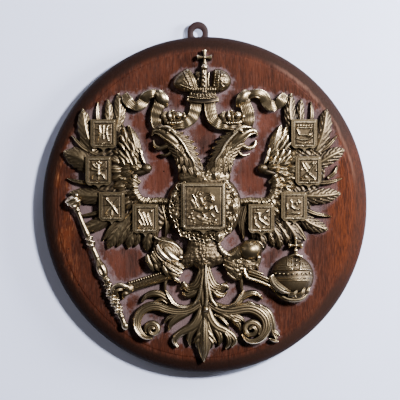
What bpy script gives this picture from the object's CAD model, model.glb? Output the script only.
# %% [markdown]
# # Coat of arms emblem
#
# A cast brass double-headed eagle on a turned oak plaque, which hangs by a dark metal
# eye plate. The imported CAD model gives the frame; this notebook replaces its plain
# solids with carved surfaces and gives every one a procedural material.
#
# The eagle is drawn as a relief, in millimetres: x to the right and y up from the
# plaque's centre, and h out from its face. `stand` turns that into the frame's metres.

# %% Load the frame
import math

import bpy
import numpy as np
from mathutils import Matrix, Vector


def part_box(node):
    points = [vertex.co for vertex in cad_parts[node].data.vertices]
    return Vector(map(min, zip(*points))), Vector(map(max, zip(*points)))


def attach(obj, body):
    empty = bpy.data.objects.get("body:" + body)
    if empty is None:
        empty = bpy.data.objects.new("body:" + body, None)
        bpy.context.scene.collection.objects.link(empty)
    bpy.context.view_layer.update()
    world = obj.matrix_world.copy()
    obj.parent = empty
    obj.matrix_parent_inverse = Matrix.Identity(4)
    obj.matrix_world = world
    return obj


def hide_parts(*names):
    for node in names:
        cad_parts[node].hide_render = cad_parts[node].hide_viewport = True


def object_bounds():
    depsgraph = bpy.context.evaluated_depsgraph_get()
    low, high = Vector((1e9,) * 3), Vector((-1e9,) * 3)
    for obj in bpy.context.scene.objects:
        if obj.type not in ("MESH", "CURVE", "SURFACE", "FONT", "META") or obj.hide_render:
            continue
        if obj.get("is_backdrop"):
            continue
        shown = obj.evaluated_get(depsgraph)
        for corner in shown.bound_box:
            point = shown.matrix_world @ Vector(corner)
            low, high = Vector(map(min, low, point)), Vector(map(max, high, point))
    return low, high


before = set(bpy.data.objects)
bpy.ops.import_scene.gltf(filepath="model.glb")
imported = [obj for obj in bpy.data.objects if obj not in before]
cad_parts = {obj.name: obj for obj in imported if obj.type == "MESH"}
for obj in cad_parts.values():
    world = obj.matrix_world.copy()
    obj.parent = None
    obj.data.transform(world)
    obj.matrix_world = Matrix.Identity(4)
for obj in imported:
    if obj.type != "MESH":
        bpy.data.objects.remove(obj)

cad_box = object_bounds()

MM = 0.001
plaque_low, plaque_high = (np.array(corner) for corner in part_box("plaque"))
eagle_low, eagle_high = (np.array(corner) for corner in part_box("eagle"))
CENTRE = (plaque_low + plaque_high) / 2
FACE_Y = plaque_low[1]
PLAQUE_WIDTH, PLAQUE_THICKNESS, PLAQUE_HEIGHT = (plaque_high - plaque_low) / MM
print("plaque", PLAQUE_WIDTH, PLAQUE_HEIGHT, PLAQUE_THICKNESS, "eagle", (eagle_high - eagle_low) / MM)

# %% [markdown]
# ## Surfaces
#
# Every form is a shell: points, quads, triangles and one number per point, its relief,
# which is 0 in a hollow and 1 on a crest. The brass is dark where it is low and rubbed
# bright where it is high. Shells may pass through each other, as the real carver's forms
# grow out of each other, so no Boolean is needed, and they are joined into a few pieces.

# %% Shells
BASE = -0.15


def stand(points):
    """Relief points in mm as points of the frame in metres: x to X, y to Z and h to -Y."""
    x, y, h = np.moveaxis(np.asarray(points, float), -1, 0)
    return np.stack([CENTRE[0] + x * MM, FACE_Y - h * MM, CENTRE[2] + y * MM], axis=-1)


def tube(rings, relief):
    """A closed skin over rings of equal count, each counter-clockwise seen from its far end."""
    count, around = rings.shape[:2]
    index = np.arange(count * around).reshape(count, around)
    ahead = np.roll(index, -1, axis=1)
    quads = np.stack([index[:-1], ahead[:-1], ahead[1:], index[1:]], axis=-1).reshape(-1, 4)
    middles = rings[[0, -1]].mean(axis=1)
    first, last = count * around, count * around + 1
    start = np.stack([np.full(around, first), ahead[0], index[0]], axis=-1)
    end = np.stack([np.full(around, last), index[-1], ahead[-1]], axis=-1)
    points = np.concatenate([rings.reshape(-1, 3), middles])
    ends = relief[[0, -1]].mean(axis=1)
    return points, quads, np.concatenate([start, end]), np.concatenate([relief.ravel(), ends])


def ring_tube(rings, relief):
    """A closed skin over rings that run round to the first again, such as a link."""
    count, around = rings.shape[:2]
    index = np.arange(count * around).reshape(count, around)
    ahead = np.roll(index, -1, axis=1)
    beyond = np.roll(index, -1, axis=0)
    quads = np.stack([index, ahead, np.roll(beyond, -1, axis=1), beyond], axis=-1).reshape(-1, 4)
    return rings.reshape(-1, 3), quads, np.zeros((0, 3), int), relief.ravel()


def patch(points, relief):
    """A closed block under a grid of points: its top, its walls down to the ground, its floor."""
    rows, columns = points.shape[:2]
    index = np.arange(rows * columns).reshape(rows, columns)
    quads = np.stack([index[:-1, :-1], index[:-1, 1:], index[1:, 1:], index[1:, :-1]], axis=-1)
    edge = np.concatenate([index[0, :-1], index[:-1, -1], index[-1, :0:-1], index[:0:-1, 0]])
    top = points.reshape(-1, 3)
    foot = top[edge] * [1, 1, 0] + [0, 0, BASE]
    low = rows * columns + np.arange(len(edge))
    walls = np.stack([np.roll(low, -1), np.roll(edge, -1), edge, low], axis=-1)
    middle = rows * columns + len(edge)
    floor = np.stack([np.full(len(edge), middle), np.roll(low, -1), low], axis=-1)
    every = np.concatenate([top, foot, foot.mean(axis=0, keepdims=True)])
    shades = np.concatenate([relief.ravel(), np.zeros(len(edge) + 1)])
    return every, np.concatenate([quads.reshape(-1, 4), walls]), floor, shades


def mirrored(shells):
    """The shells on the other side of the upright middle line, their faces turned to stay outward."""
    return [(points * [-1, 1, 1], quads[:, ::-1], triangles[:, ::-1], relief)
            for points, quads, triangles, relief in shells]


def count_triangles(shells):
    """Two triangles for each quad and one for each triangle."""
    return sum(2 * len(shell[1]) + len(shell[2]) for shell in shells)


SHARP_ANGLE = 48


def build_piece(name, shells, material, slot, node):
    """One object from many shells, riding on the part and standing for a CAD node."""
    points = stand(np.concatenate([shell[0] for shell in shells]))
    starts = np.cumsum([0] + [len(shell[0]) for shell in shells[:-1]])
    quads = np.concatenate([shell[1] + start for shell, start in zip(shells, starts)])
    triangles = np.concatenate([shell[2] + start for shell, start in zip(shells, starts)])
    relief = np.concatenate([shell[3] for shell in shells])
    mesh = bpy.data.meshes.new(name)
    corners = np.concatenate([quads.ravel(), triangles.ravel()]).astype(np.int32)
    sizes = np.concatenate([np.full(len(quads), 4), np.full(len(triangles), 3)]).astype(np.int32)
    mesh.vertices.add(len(points))
    mesh.vertices.foreach_set("co", points.ravel())
    mesh.loops.add(len(corners))
    mesh.loops.foreach_set("vertex_index", corners)
    mesh.polygons.add(len(sizes))
    mesh.polygons.foreach_set("loop_start", np.concatenate([[0], np.cumsum(sizes)[:-1]]).astype(np.int32))
    mesh.polygons.foreach_set("use_smooth", np.ones(len(sizes), bool))
    mesh.update(calc_edges=True)
    mesh.validate()
    mesh.set_sharp_from_angle(angle=math.radians(SHARP_ANGLE))
    values = mesh.attributes.new("relief", "FLOAT", "POINT")
    values.data.foreach_set("value", np.clip(relief, 0, 1).astype(np.float32))
    mesh.materials.append(material)
    piece = bpy.data.objects.new(name, mesh)
    bpy.context.collection.objects.link(piece)
    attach(piece, "root")
    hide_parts(node)
    print(name, len(points), "points", count_triangles(shells), "triangles")
    return piece


# %% [markdown]
# ## Lines
#
# A path is a smooth line through a few points, and a profile is a smooth run of values
# spread evenly along it. A Curve object could do this too, but arrays let the carving
# read the distance along and across.

# %% Paths and profiles
def spread(values, share):
    """The value at each share from 0 to 1 of a list spread evenly, on smooth cubic steps."""
    values = np.atleast_1d(np.asarray(values, float))
    if len(values) == 1:
        return np.full_like(share, values[0])
    slopes = np.gradient(values)
    place = np.clip(share, 0, 1) * (len(values) - 1)
    cell = np.minimum(place.astype(int), len(values) - 2)
    t = place - cell
    a, b, da, db = values[cell], values[cell + 1], slopes[cell], slopes[cell + 1]
    cubic = (2 * t**3 - 3 * t**2 + 1) * a + (t**3 - 2 * t**2 + t) * da
    return cubic + (3 * t**2 - 2 * t**3) * b + (t**3 - t**2) * db


def smooth_path(points, count):
    """Points evenly spaced on the centripetal curve through the given ones, and its directions."""
    given = np.asarray(points, float)
    ends = np.stack([2 * given[0] - given[1], 2 * given[-1] - given[-2]])
    knots = np.concatenate([ends[:1], given, ends[1:]])
    t = np.concatenate([[0], np.cumsum(np.linalg.norm(np.diff(knots, axis=0), axis=1) ** 0.5)])
    dense = []
    for i in range(1, len(knots) - 2):
        u = np.linspace(t[i], t[i + 1], 24)[:, None]
        mix = lambda p, q, a, b: ((b - u) * p + (u - a) * q) / (b - a)
        first = mix(knots[i - 1], knots[i], t[i - 1], t[i])
        second = mix(knots[i], knots[i + 1], t[i], t[i + 1])
        third = mix(knots[i + 1], knots[i + 2], t[i + 1], t[i + 2])
        left = mix(first, second, t[i - 1], t[i + 1])
        right = mix(second, third, t[i], t[i + 2])
        dense.append(mix(left, right, t[i], t[i + 1]))
    dense = np.concatenate(dense)
    run = np.concatenate([[0], np.cumsum(np.linalg.norm(np.diff(dense, axis=0), axis=1))])
    at = np.linspace(0, run[-1], count)
    line = np.stack([np.interp(at, run, dense[:, axis]) for axis in range(dense.shape[1])], axis=-1)
    way = np.gradient(line, axis=0)
    way /= np.linalg.norm(way, axis=1, keepdims=True) + 1e-9
    return line, way, run[-1]


def bell(distance, width):
    """A smooth bump, 1 at no distance and near 0 beyond the width."""
    return np.exp(-((distance / width) ** 2) * 2)


def step(value, low, high):
    """0 below low and 1 above high, with a smooth rise between."""
    t = np.clip((value - low) / (high - low), 0, 1)
    return t * t * (3 - 2 * t)


def rough(x, y, size, seed=0):
    """Smooth unevenness of about -1 to 1, from waves of the size in many directions."""
    dice = np.random.default_rng(seed)
    total = 0
    for _ in range(7):
        turn, start = dice.uniform(0, 2 * math.pi, 2)
        wave = 2 * math.pi / (size * dice.uniform(0.7, 1.6))
        total = total + np.sin(wave * (x * math.cos(turn) + y * math.sin(turn)) + start)
    return total / 4


# %% [markdown]
# ## Carved forms
#
# A blade lies along a path: feathers, ribbons, scrolls, beaks and bones are blades with
# different widths, crests and carving. Carving is a function of the distance along in
# mm, the place across from -1 to 1, the half width in mm and the share along; it gives
# a height to add, in mm. Real grooves, unlike a bump, catch the side light and cast shade.

# %% Blades
def plain(along, across, half, share):
    """No carving: a height of 0 everywhere."""
    return 0 * along * across


# The share of the asked points that a blade gets along and across, and a pad along and round
BLADE_FINENESS = 0.84, 0.88
PAD_FINENESS = 0.88, 0.85
RING_GAP, FEWEST_RINGS, MOST_RINGS = 0.9, 10, 120


def blade(points, half, crest, carve=plain, rise=0.7, power=2, rings=None, across=15, tone=0):
    """A bar on the ground along a path. Its section is two walls and a crown over them that
    falls from the crest by rise * half width * |across| ** power. A tone below 0 is duller."""
    length = smooth_path(points, 8)[2]
    asked = rings or np.clip(length / RING_GAP, FEWEST_RINGS, MOST_RINGS)
    rings = max(FEWEST_RINGS, int(BLADE_FINENESS[0] * asked))
    across = 2 * int(BLADE_FINENESS[1] * across / 2) + 1
    line, way, length = smooth_path(points, rings)
    share = np.linspace(0, 1, rings)[:, None]
    place = np.sin(np.linspace(math.pi / 2, -math.pi / 2, across))[None, :]
    width = np.maximum(spread(half, share), 0.05)
    top = spread(crest, share)
    cut = carve(share * length, place, width, share)
    fall = np.minimum(rise * width, 0.8 * top)
    height = top - fall * np.abs(place) ** power + cut
    normal = np.stack([-way[:, 1], way[:, 0]], axis=-1)[:, None, :]
    flat = line[:, None, :] + normal * (place * width)[..., None]
    ring = np.concatenate([flat, height[..., None]], axis=-1)
    near, far = (ring[:, edge] * [1, 1, 0] + [0, 0, BASE] for edge in (slice(0, 1), slice(-1, None)))
    shade = 0.36 + tone + 0.38 * (1 - np.abs(place) ** power) + 0.42 * cut + 0 * height
    shade = np.pad(shade, ((0, 0), (1, 1)))
    return tube(np.concatenate([near, ring, far], axis=1), shade)


def blades(rows, widths, falls, carve=plain, tone=0, **settings):
    """A blade for each row of path, half width, crest and, if it has one, tone. The widths are
    shares of the half width, and the falls are added to the crest, both spread along the path."""
    widths, falls = np.array(widths, float), np.array(falls, float)
    return [blade(path, widths * half, crest + falls, carve, tone=own[0] if own else tone, **settings)
            for path, half, crest, *own in rows]


def flutes(count, depth):
    """Lengthwise grooves, evenly spread across."""
    def carve(along, across, half, share):
        wave = 0.5 - 0.5 * np.cos(math.pi * (count * across + 1))
        return -depth * wave**1.5 * step(share, 0, 0.04)
    return carve


def rungs(pitch, depth):
    """Crosswise ribs with grooves between them."""
    def carve(along, across, half, share):
        wave = 0.5 - 0.5 * np.cos(2 * math.pi * along / pitch)
        return -depth * wave**2
    return carve


def scales(p, q):
    """Overlapping round scales, p rows along and q across: 0 at the roots to 1 at the lips."""
    high = 0 * p
    for back in (0, 1):
        row = np.floor(p) - back
        down = p - row
        beside = q + 0.5 * (row % 2)
        beside = beside - np.floor(beside) - 0.5
        inside = 1 - step((down / 1.5) ** 3 + (np.abs(beside) / 0.56) ** 3, 0.8, 1)
        spine = bell(beside, 0.12) * 0.18
        high = np.maximum(high, inside * (0.25 + 0.45 * down + spine))
    return high


# %% Uneven surfaces
def pebbles(size, depth, seed=0):
    """Irregular pebbles, one in each cell of a grid, shifted and sized by chance."""
    table = np.random.default_rng(seed).uniform(0, 1, (64, 64, 3))

    def carve(x, y, share, angle=None):
        u, v = x / size + 32, y / size + 32
        nearest = np.full(u.shape, 9)
        for du in (-1, 0, 1):
            for dv in (-1, 0, 1):
                column, row = np.floor(u) + du, np.floor(v) + dv
                dice = table[column.astype(int) % 64, row.astype(int) % 64]
                away = np.hypot(u - column - 0.15 - 0.7 * dice[..., 0], v - row - 0.15 - 0.7 * dice[..., 1])
                nearest = np.minimum(nearest, away / (0.7 + 0.5 * dice[..., 2]))
        return depth * (0.55 - np.minimum(nearest, 1) ** 1.5) * (1 - step(share, 0.93, 1))
    return carve


def grainy(size=2.2, depth=0.5, seed=5):
    """Uneven carving for a blade, like a worn file."""
    def carve(along, across, half, share):
        return depth * rough(along, across * half, size, seed)
    return carve


def duller(shells, amount):
    """The same shells with a less rubbed brass."""
    return [(points, quads, triangles, relief - amount) for points, quads, triangles, relief in shells]


# %% Domes, turned bars and links
def dome(x, y, rx, ry, edge, crest, carve=None, turn=0, sides=40, rings=14, power=2):
    """An oval boss: walls up to its edge, then a crown to the crest, sqrt(1 - share ** power)."""
    angle = np.linspace(0, 2 * math.pi, sides, endpoint=False)[None, :]
    share = np.sin(np.linspace(math.pi / 2, 0.02, rings))[:, None]
    u, w = rx * share * np.cos(angle), ry * share * np.sin(angle)
    c, s = math.cos(math.radians(turn)), math.sin(math.radians(turn))
    px, py = x + u * c - w * s, y + u * s + w * c
    crown = np.sqrt(np.maximum(1 - share**power, 0)) * np.ones_like(angle)
    cut = carve(u, w, share, angle) if carve else 0 * px
    height = edge + (crest - edge) * crown + cut
    top = np.stack([px, py, height], axis=-1)
    foot = top[:1] * [1, 1, 0] + [0, 0, BASE]
    shade = 0.3 + 0.4 * crown + 0.42 * cut
    shade = np.concatenate([0 * shade[:1], shade])
    return tube(np.concatenate([foot, top]), shade)


def ball(x, y, radius, crest):
    """A round bead whose top is at the crest."""
    return dome(x, y, radius, radius, crest - radius, crest, sides=20, rings=9)


def turned(start, end, profile, lift, carve, sides, rings):
    """A bar turned about the line from start to end, with [share, radius] profile points."""
    start, end = np.asarray(start, float), np.asarray(end, float)
    along = np.linspace(0, 1, rings)
    shares, radii = np.asarray(profile, float).T
    radius = np.interp(along, shares, radii)
    radius = np.convolve(np.pad(radius, 2, mode="edge"), [0.1, 0.2, 0.4, 0.2, 0.1], "valid")[:, None]
    length = np.linalg.norm(end - start)
    way = (end - start) / length
    angle = np.linspace(0, 2 * math.pi, sides, endpoint=False)[None, :]
    cut = carve(along[:, None] * length, angle)
    out = radius + cut
    side = np.array([-way[1], way[0]])
    flat = start + along[:, None, None] * (end - start) + (out * np.cos(angle))[..., None] * side
    height = np.maximum(lift + out * np.sin(angle), BASE)
    shade = 0.42 + 0.3 * (radius - radius.mean()) / radius.max() + 0.4 * cut + 0.15 * np.sin(angle)
    return tube(np.concatenate([flat, height[..., None]], axis=-1), shade)


def link(x, y, rx, ry, thick, height, turn=0):
    """A flat chain link lying on its side."""
    around = np.linspace(0, 2 * math.pi, 20, endpoint=False)[:, None]
    tube_angle = np.linspace(0, 2 * math.pi, 8, endpoint=False)[None, :]
    c, s = math.cos(math.radians(turn)), math.sin(math.radians(turn))
    u = (rx - thick * np.cos(tube_angle)) * np.cos(around)
    w = (ry - thick * np.cos(tube_angle)) * np.sin(around)
    h = height + thick * np.sin(tube_angle) + 0 * around
    rings = np.stack([x + u * c - w * s, y + u * s + w * c, h], axis=-1)
    return ring_tube(rings, 0.55 + 0.4 * np.sin(tube_angle) + 0 * around)


print("forms ready")

# %% [markdown]
# ## Shields
#
# A shield is a grid stretched to the heraldic outline: square shoulders, rounded feet
# and a small point. Its height is worked out from the distance to the edge, which gives
# the raised rim and the sunk field, and the charge on it is drawn with soft strokes. A
# sculpted mesh would do as well, but a formula keeps all nine shields to one pattern.

# %% Strokes and shields
def stroke(x, y, points, radius, height):
    """A soft ridge along straight lines between points, as a height at each x, y."""
    nearest = np.full(x.shape, 1e6)
    radii = np.atleast_1d(radius) * np.ones(len(points))
    for (ax, ay), (bx, by), ra, rb in zip(points, points[1:], radii, radii[1:]):
        length2 = (bx - ax) ** 2 + (by - ay) ** 2 + 1e-9
        t = np.clip(((x - ax) * (bx - ax) + (y - ay) * (by - ay)) / length2, 0, 1)
        away = np.hypot(x - ax - t * (bx - ax), y - ay - t * (by - ay))
        nearest = np.minimum(nearest, away / (ra + t * (rb - ra)))
    return height * np.sqrt(np.clip(1 - nearest**2, 0, 1))


def spot(x, y, cx, cy, radius, height):
    """A round raised dot."""
    return height * np.sqrt(np.clip(1 - ((x - cx) ** 2 + (y - cy) ** 2) / radius**2, 0, 1))


def heap(*heights):
    """The highest of several heights at each point."""
    return np.maximum.reduce(heights)


def shield(x, top, width, height, crest, charge, border=3.2, drop=0.9, sink=1.8, line_half=0.85, cell=0.5):
    """A shield plate: a lower border, a thin raised line, and a sunk field with its charge."""
    columns, rows = int(width / cell), int(height / cell)
    across = np.sin(np.linspace(-1, 1, columns) * math.pi / 2)[None, :] * 0.35
    across = across + np.linspace(-1, 1, columns)[None, :] * 0.65
    foot = top - height + 2.8
    corner = 4.5 * np.clip((np.abs(across) - 0.68) / 0.32, 0, 1) ** 2
    point = 3.8 * bell(across, 0.15) - 0.9 * bell(np.abs(across) - 0.42, 0.14)
    low = foot + corner - point
    down = np.linspace(0, 1, rows)[:, None]
    px = x + across * width / 2 * np.ones_like(down)
    py = low + down * (top - low)
    inside = np.minimum(width / 2 * (1 - np.abs(across)), np.minimum(top - py, (py - foot - corner)))
    inside = np.maximum(inside + 0 * px, 0)
    line = step(inside, border - line_half - 0.5, border - line_half)
    line = line - step(inside, border + line_half, border + line_half + 0.5)
    drawn = charge(px - x, py - (top - height * 0.47))
    within = step(inside, border + line_half, border + line_half + 0.9)
    crease = bell(inside - border - line_half - 1.3, 0.6)
    surface = crest - drop * (1 - line) * (1 - within) - sink * within + 1.5 * drawn * within - 0.3 * crease
    shade = 0.32 + 0.5 * line - 0.04 * within + 0.62 * np.clip(drawn, 0, 1) * within - 0.25 * crease
    return patch(np.stack([px, py, surface], axis=-1), shade)


# %% [markdown]
# ### Charges
#
# Plain heraldic devices of this notebook's own drawing: birds, beasts, boughs, crossed
# staves, a cap over a boat, and for the breast a rider who spears a dragon.

# %% Charges
def charge_of(*marks):
    """A charge as a height at each x, y: the highest of its marks. A mark is a stroke (points,
    radius, height) or a spot (x, y, radius, height), in mm from the middle of the field."""
    def charge(x, y):
        return heap(*[(stroke if len(mark) == 3 else spot)(x, y, *mark) for mark in marks])
    return charge


def paired(*marks):
    """The marks and their mirror images on the other side of the middle."""
    strokes = [mark for mark in marks if len(mark) == 3]
    spots = [mark for mark in marks if len(mark) == 4]
    flipped = [([(-x, y) for x, y in points], radius, height) for points, radius, height in strokes]
    return [*marks, *flipped, *[(-x, *rest) for x, *rest in spots]]


cap_and_boat = charge_of(
    ([(-8, 7.4), (8, 7.4)], 1, 0.9),
    ([(-9, 6), (-5.5, -1), (5.5, -1), (9, 5)], [0.8, 1.2, 1.2, 0.8], 0.9),
    ([(-9, -5), (-3, -7), (5, -6.4), (10, -2.5)], [0.8, 1.3, 1.5, 0.8], 1),
    ([(4, -2.5), (8, -1)], 1.2, 0.9),
    ([(-7, -10.5), (6, -10.5)], 0.7, 0.5),
    *[(-8 + 3.2 * i, 10.2, 1.1, 0.7) for i in range(6)],
)
crossed_staves = charge_of(
    ([(-7, 9), (-1, -1), (7, -9)], [1.3, 1, 1.3], 1),
    ([(8, 9), (1, -1), (-8, -8)], [1, 1.3, 1], 1),
    ([(-4, 9.5), (3, 0)], 0.7, 0.7),
    ([(-9, -10.5), (8, -10.5)], [0.9, 1.1], 0.9),
    ([(2, 8), (5, 10), (7, 6)], 0.8, 0.8),
    (9, 1, 1.5, 0.8), (-8.6, 1.5, 1.3, 0.8), (-3, -7, 1.6, 0.7), (4.5, -6.5, 1.6, 0.8),
)
seated_beast = charge_of(
    ([(-4.5, 8), (-2.5, 5), (-3, 0), (1, -2.6), (6, -3)], [0.8, 1.6, 1.8, 1.6, 0.9], 1.1),
    ([(-1, 6), (3, 4.5), (3.4, 1)], [0.8, 1.3, 0.7], 1),
    ([(1.8, 3.8), (5.6, 7.5)], [1.2, 0.8], 0.9),
    (6, 5, 1.6, 0.9),
    ([(-7.5, -8), (-2, -7.2), (6, -8)], [1, 1.6, 1.2], 1),
    ([(-9, -11.5), (8, -11.5)], 0.7, 0.6),
    ([(-9, 3), (-8, -3)], 0.9, 0.6),
)
rampant_beast = charge_of(
    ([(-8, 8), (-3, 7), (-2.6, 0), (2.5, -4), (8, -7.5)], [0.9, 1.6, 1.7, 1.6, 1], 1.1),
    ([(0, 3), (4.5, 7)], [1.3, 0.8], 1),
    ([(3, 2), (7.5, -2)], [1, 0.7], 0.9),
    ([(-8, 2), (-7, -6), (-3, -10)], [0.8, 1.2, 0.8], 0.8),
    (6.6, 9, 1.8, 1), (2, -10.5, 1.3, 0.8), (-5, 11, 1.1, 0.7), (8.5, 3.5, 1.1, 0.7),
)
paired_birds = charge_of(
    *paired(
        ([(4.5, 8), (3.6, 2), (4.6, -4)], [1, 1.9, 1.2], 1.1),
        (5, 9.4, 1.5, 1),
        ([(4, 5), (8.6, 6.5)], [1.1, 0.6], 0.9),
        ([(4.6, -4), (6.6, -8.6)], [1.2, 0.6], 0.9),
        ([(2, 1), (8, -1)], 0.8, 0.7),
    ),
    ([(-9, -11), (9, -11)], 0.9, 0.7),
    ([(0, 10), (0, -6)], 0.9, 0.7),
)
small_eagle = charge_of(
    *paired(
        ([(1, 3), (5, 6), (7.6, 10)], [1.5, 1.6, 0.7], 1),
        ([(2, 1), (7, 1.6), (9, 4)], [1.3, 1.2, 0.6], 0.9),
        ([(1, -2), (5.5, -5), (7.5, -9)], [1.4, 1.1, 0.6], 1),
        ([(0, 5), (2.6, 10)], [1.3, 0.8], 1),
    ),
    ([(0, 7), (0, -4)], [1.4, 2.4], 1.3),
    ([(0, -4), (0, -10.5)], [1.8, 0.8], 1),
    (0, 11, 1.3, 0.9),
)
perched_bird = charge_of(
    ([(-6, 9), (-2, 4), (2, -1), (7, -8)], [0.9, 1.9, 2.2, 0.9], 1.2),
    ([(7, 9), (2.4, 3), (-3, -3), (-7, -9)], [0.8, 1.6, 1.6, 0.8], 1),
    ([(-8, 2), (-3, 2.6)], [0.7, 1.2], 0.8),
    ([(4, -1), (9, 1)], [1.2, 0.7], 0.8),
    (-6.6, 10, 1.5, 1),
    ([(-9, -11.4), (9, -11.4)], 0.8, 0.7),
    ([(0, -4), (0, -10)], 0.9, 0.8),
)
slanting_boughs = charge_of(
    *[([(-8 + 5 * i, 9 - i), (-3 + 4 * i, -1 - i), (-1 + 4 * i, -8)], [0.8, 1.3, 0.8], 1) for i in range(3)],
    (-8, 10.6, 1.4, 0.8), (6.6, 9.4, 1.4, 0.8),
    ([(-8, -2), (-5, -7), (-8, -11)], [1, 1.4, 0.8], 0.9),
    ([(0, -11.4), (9, -11.4)], 0.8, 0.7),
)

# %% Breast charge
rider = charge_of(
    # The horse
    ([(-9, -4), (-2, -5.5), (5, -4.5), (9, -3)], [3, 3.6, 3.6, 3.4], 1.2),
    (8.2, -4, 2.8, 2.6), (2.2, -3.2, 2.4, 1.9),
    ([(-8, -3), (-12, 2), (-14, 6)], [2.6, 2.2, 1.5], 0.7),
    ([(-9, -5), (-15, -4), (-18, -8)], [1.6, 1.1, 0.8], 0.8),
    ([(9.6, -10), (13, -14)], [1.2, 0.9], 1.6),
    ([(13.5, -1), (15, -5), (17.6, -9)], [1.3, 1.5, 0.8], 2.2),
    # The rider
    ([(0, -1), (-2, 4), (-3.4, 8)], [2.4, 2.5, 1.8], 1),
    ([(-7.6, 10), (-8.2, 13), (-6.4, 15.8), (-3.6, 16)], [0.7, 1.1, 1, 0.7], 2.6),
    (-4.6, 12.4, 1.8, 0.9), (-0.8, 14.2, 1.2, 2.5), (0.8, 1, 1.9, 3),
    ([(1, 5), (2, 9)], [0.9, 0.9], 1.4),
    # The cloak, its edge and its folds
    ([(6, 8), (9, 8)], [4, 4.6], 0.35),
    ([(8.6, 13), (10.6, 10), (12.4, 6.4), (10.4, 3.8)], [0.5, 1.1, 1.4, 0.7], 2.9),
    *[([(4.6 + 0.2 * i, 14.6 - 2.9 * i), (8.4, 14.4 - 2.9 * i), (10.4, 12 - 2.5 * i)], [0.45, 0.7, 0.6], 1.8)
      for i in range(4)],
    # The dragon
    ([(0, -11), (3, -14.4), (7.4, -16.6)], [1.5, 1.3, 0.9], 2.3),
    (14.4, -17.2, 1.8, 2.6),
    ([(10, -19.4), (14.6, -21)], [0.9, 0.7], 1.2),
    ([(-8, -13), (-4, -16), (2, -18.6), (8, -20)], [1.2, 2.2, 2.2, 1.2], 0.5),
    ([(8, -22.4), (13, -23.2)], [0.7, 0.9], 1.9),
    ([(-8, -22.4), (0, -20.8), (5, -21.6)], [0.8, 1.1, 0.7], 0.9),
    (-14.4, -10, 1.5, 1.3), (-12.4, -7, 1.1, 1.3), (-17.4, -14.4, 1.6, 1.3), (-12.4, -16, 1.7, 1.3),
    (-15, -19, 1, 1.3), (-10.6, -20.8, 1, 1.3), (-13.4, -12.8, 1, 1.3),
    # The lance
    ([(-12.4, 13), (-9.6, 8), (-8.4, 3), (-6, -2)], [0.8, 1.5, 0.9, 1.2], 2.9),
    ([(-6, -2), (1, -12), (4, -16)], [0.4, 0.5, 0.4], 1),
)


def breast_charge(x, y):
    """The rider at two thirds of its height, on a field that swells at the upper right."""
    right = x + 0.5 * y
    swell = 0.34 * step(right, 6, 16) * step(y, -4, 8)
    grain = 0.1 * np.clip(rough(x, y, 5, 5), -0.5, 1) * (1 - step(right, 8, 18))
    return 0.66 * rider(x + 0.2, y - 1.2) + swell + grain


WING_SHIELD_WIDTH = 29.5
WING_SHIELD_HEIGHT = 36
WING_SHIELD_CREST = 14.8
WING_SHIELDS = [
    (118.5, 101, cap_and_boat), (123.5, 57, crossed_staves), (106.5, 14.5, seated_beast),
    (67.5, 0, rampant_beast), (-120.5, 101, paired_birds), (-126.5, 57, small_eagle),
    (-110.5, 14.5, perched_bird), (-70.5, 0, slanting_boughs),
]


def make_shields():
    """The eight shields of the wings, and the large one on the breast."""
    shells = [
        shield(x, top + 0.6, WING_SHIELD_WIDTH + 1, WING_SHIELD_HEIGHT + 1.2, WING_SHIELD_CREST + 0.4, charge,
               cell=0.62)
        for x, top, charge in WING_SHIELDS
    ]
    shells = duller(shells, 0.12)
    shells.append(shield(
        -1.5, 26.2, 53, 59.4, 26.2, breast_charge, border=3, drop=2.2, sink=2.3, line_half=1.15, cell=0.5))
    return shells


# %% [markdown]
# ## Wings
#
# Quills fan out round each wing, broad ones with barbs and thin ones between. A web
# under them carries the small feathers, which fan out from the wrist in rows. The quills
# are placed one by one, since their lengths and leans make the outline, and chance turns
# the small ones, which no one counts.

# %% Wing feathers
BROAD = [0.8, 0.95, 1.02, 1.02, 0.95, 0.72, 0.12]
THIN = [0.8, 1, 0.9, 0.7, 0.2]
LEAF = [0.55, 0.95, 1, 0.8, 0.12]

# Root, tip, half width, bow, crest, and whether the feather is broad
WING_FEATHERS = [
    ([106, 88], [103, 133], 6.6, -3, 11, True),
    ([116, 90], [115.5, 126], 4.8, -2, 10, True),
    ([126, 92], [127, 123], 2.6, 1.5, 8.5, False),
    ([133, 64], [145.5, 114], 8.6, 2.6, 10.8, True),
    ([128, 60], [158.5, 83], 3, 3.6, 9, False),
    ([137, 68], [150, 80], 1.8, 2, 8.6, False),
    ([132, 46], [166.5, 66], 8.8, -1.5, 10.8, True),
    ([134, 26], [164, 31.5], 2.9, 1.6, 8.6, False),
    ([147, 32], [158.5, 47], 2.4, 2.4, 8.8, False),
    ([114, 11], [162, 13.5], 9, 1.8, 10.8, True),
    ([112, -2], [151, -14], 2.9, 2.2, 8.6, False),
    ([110, -10], [147, -30], 7.8, 3, 10.8, True),
    ([108, -16], [143, -22], 2.4, 1, 9.4, False),
    ([96, -12], [121, -42], 4.8, -1, 9, False),
    ([90, -12], [115, -52], 8.8, -2, 10.6, True),
    ([84, -18], [104, -50], 5.4, -1.5, 9.6, True),
    ([80, -24], [91, -52], 6.2, -2, 10, True),
    ([74, -26], [83, -50], 4.4, -1, 9, True),
    ([62, -26], [69, -56], 6.4, -2, 9.8, True),
    ([56, -24], [58, -44], 3.6, -1, 9, False),
    ([50, 0], [47, -43], 2.8, 3.4, 10, False),
    ([45, -2], [43, -34], 2, 2.6, 11, False),
]
# Places in the list of the feather that is broader on the left wing, and of the one it lacks
BROADER, LEFT_OUT = 6, 8


def bowed(root, tip, bow):
    """The path of a quill that bows sideways by its bow in the middle."""
    root, tip = np.asarray(root, float), np.asarray(tip, float)
    way = (tip - root) / np.linalg.norm(tip - root)
    return [root, (root + tip) / 2 + bow * np.array([way[1], -way[0]]), tip]


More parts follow.
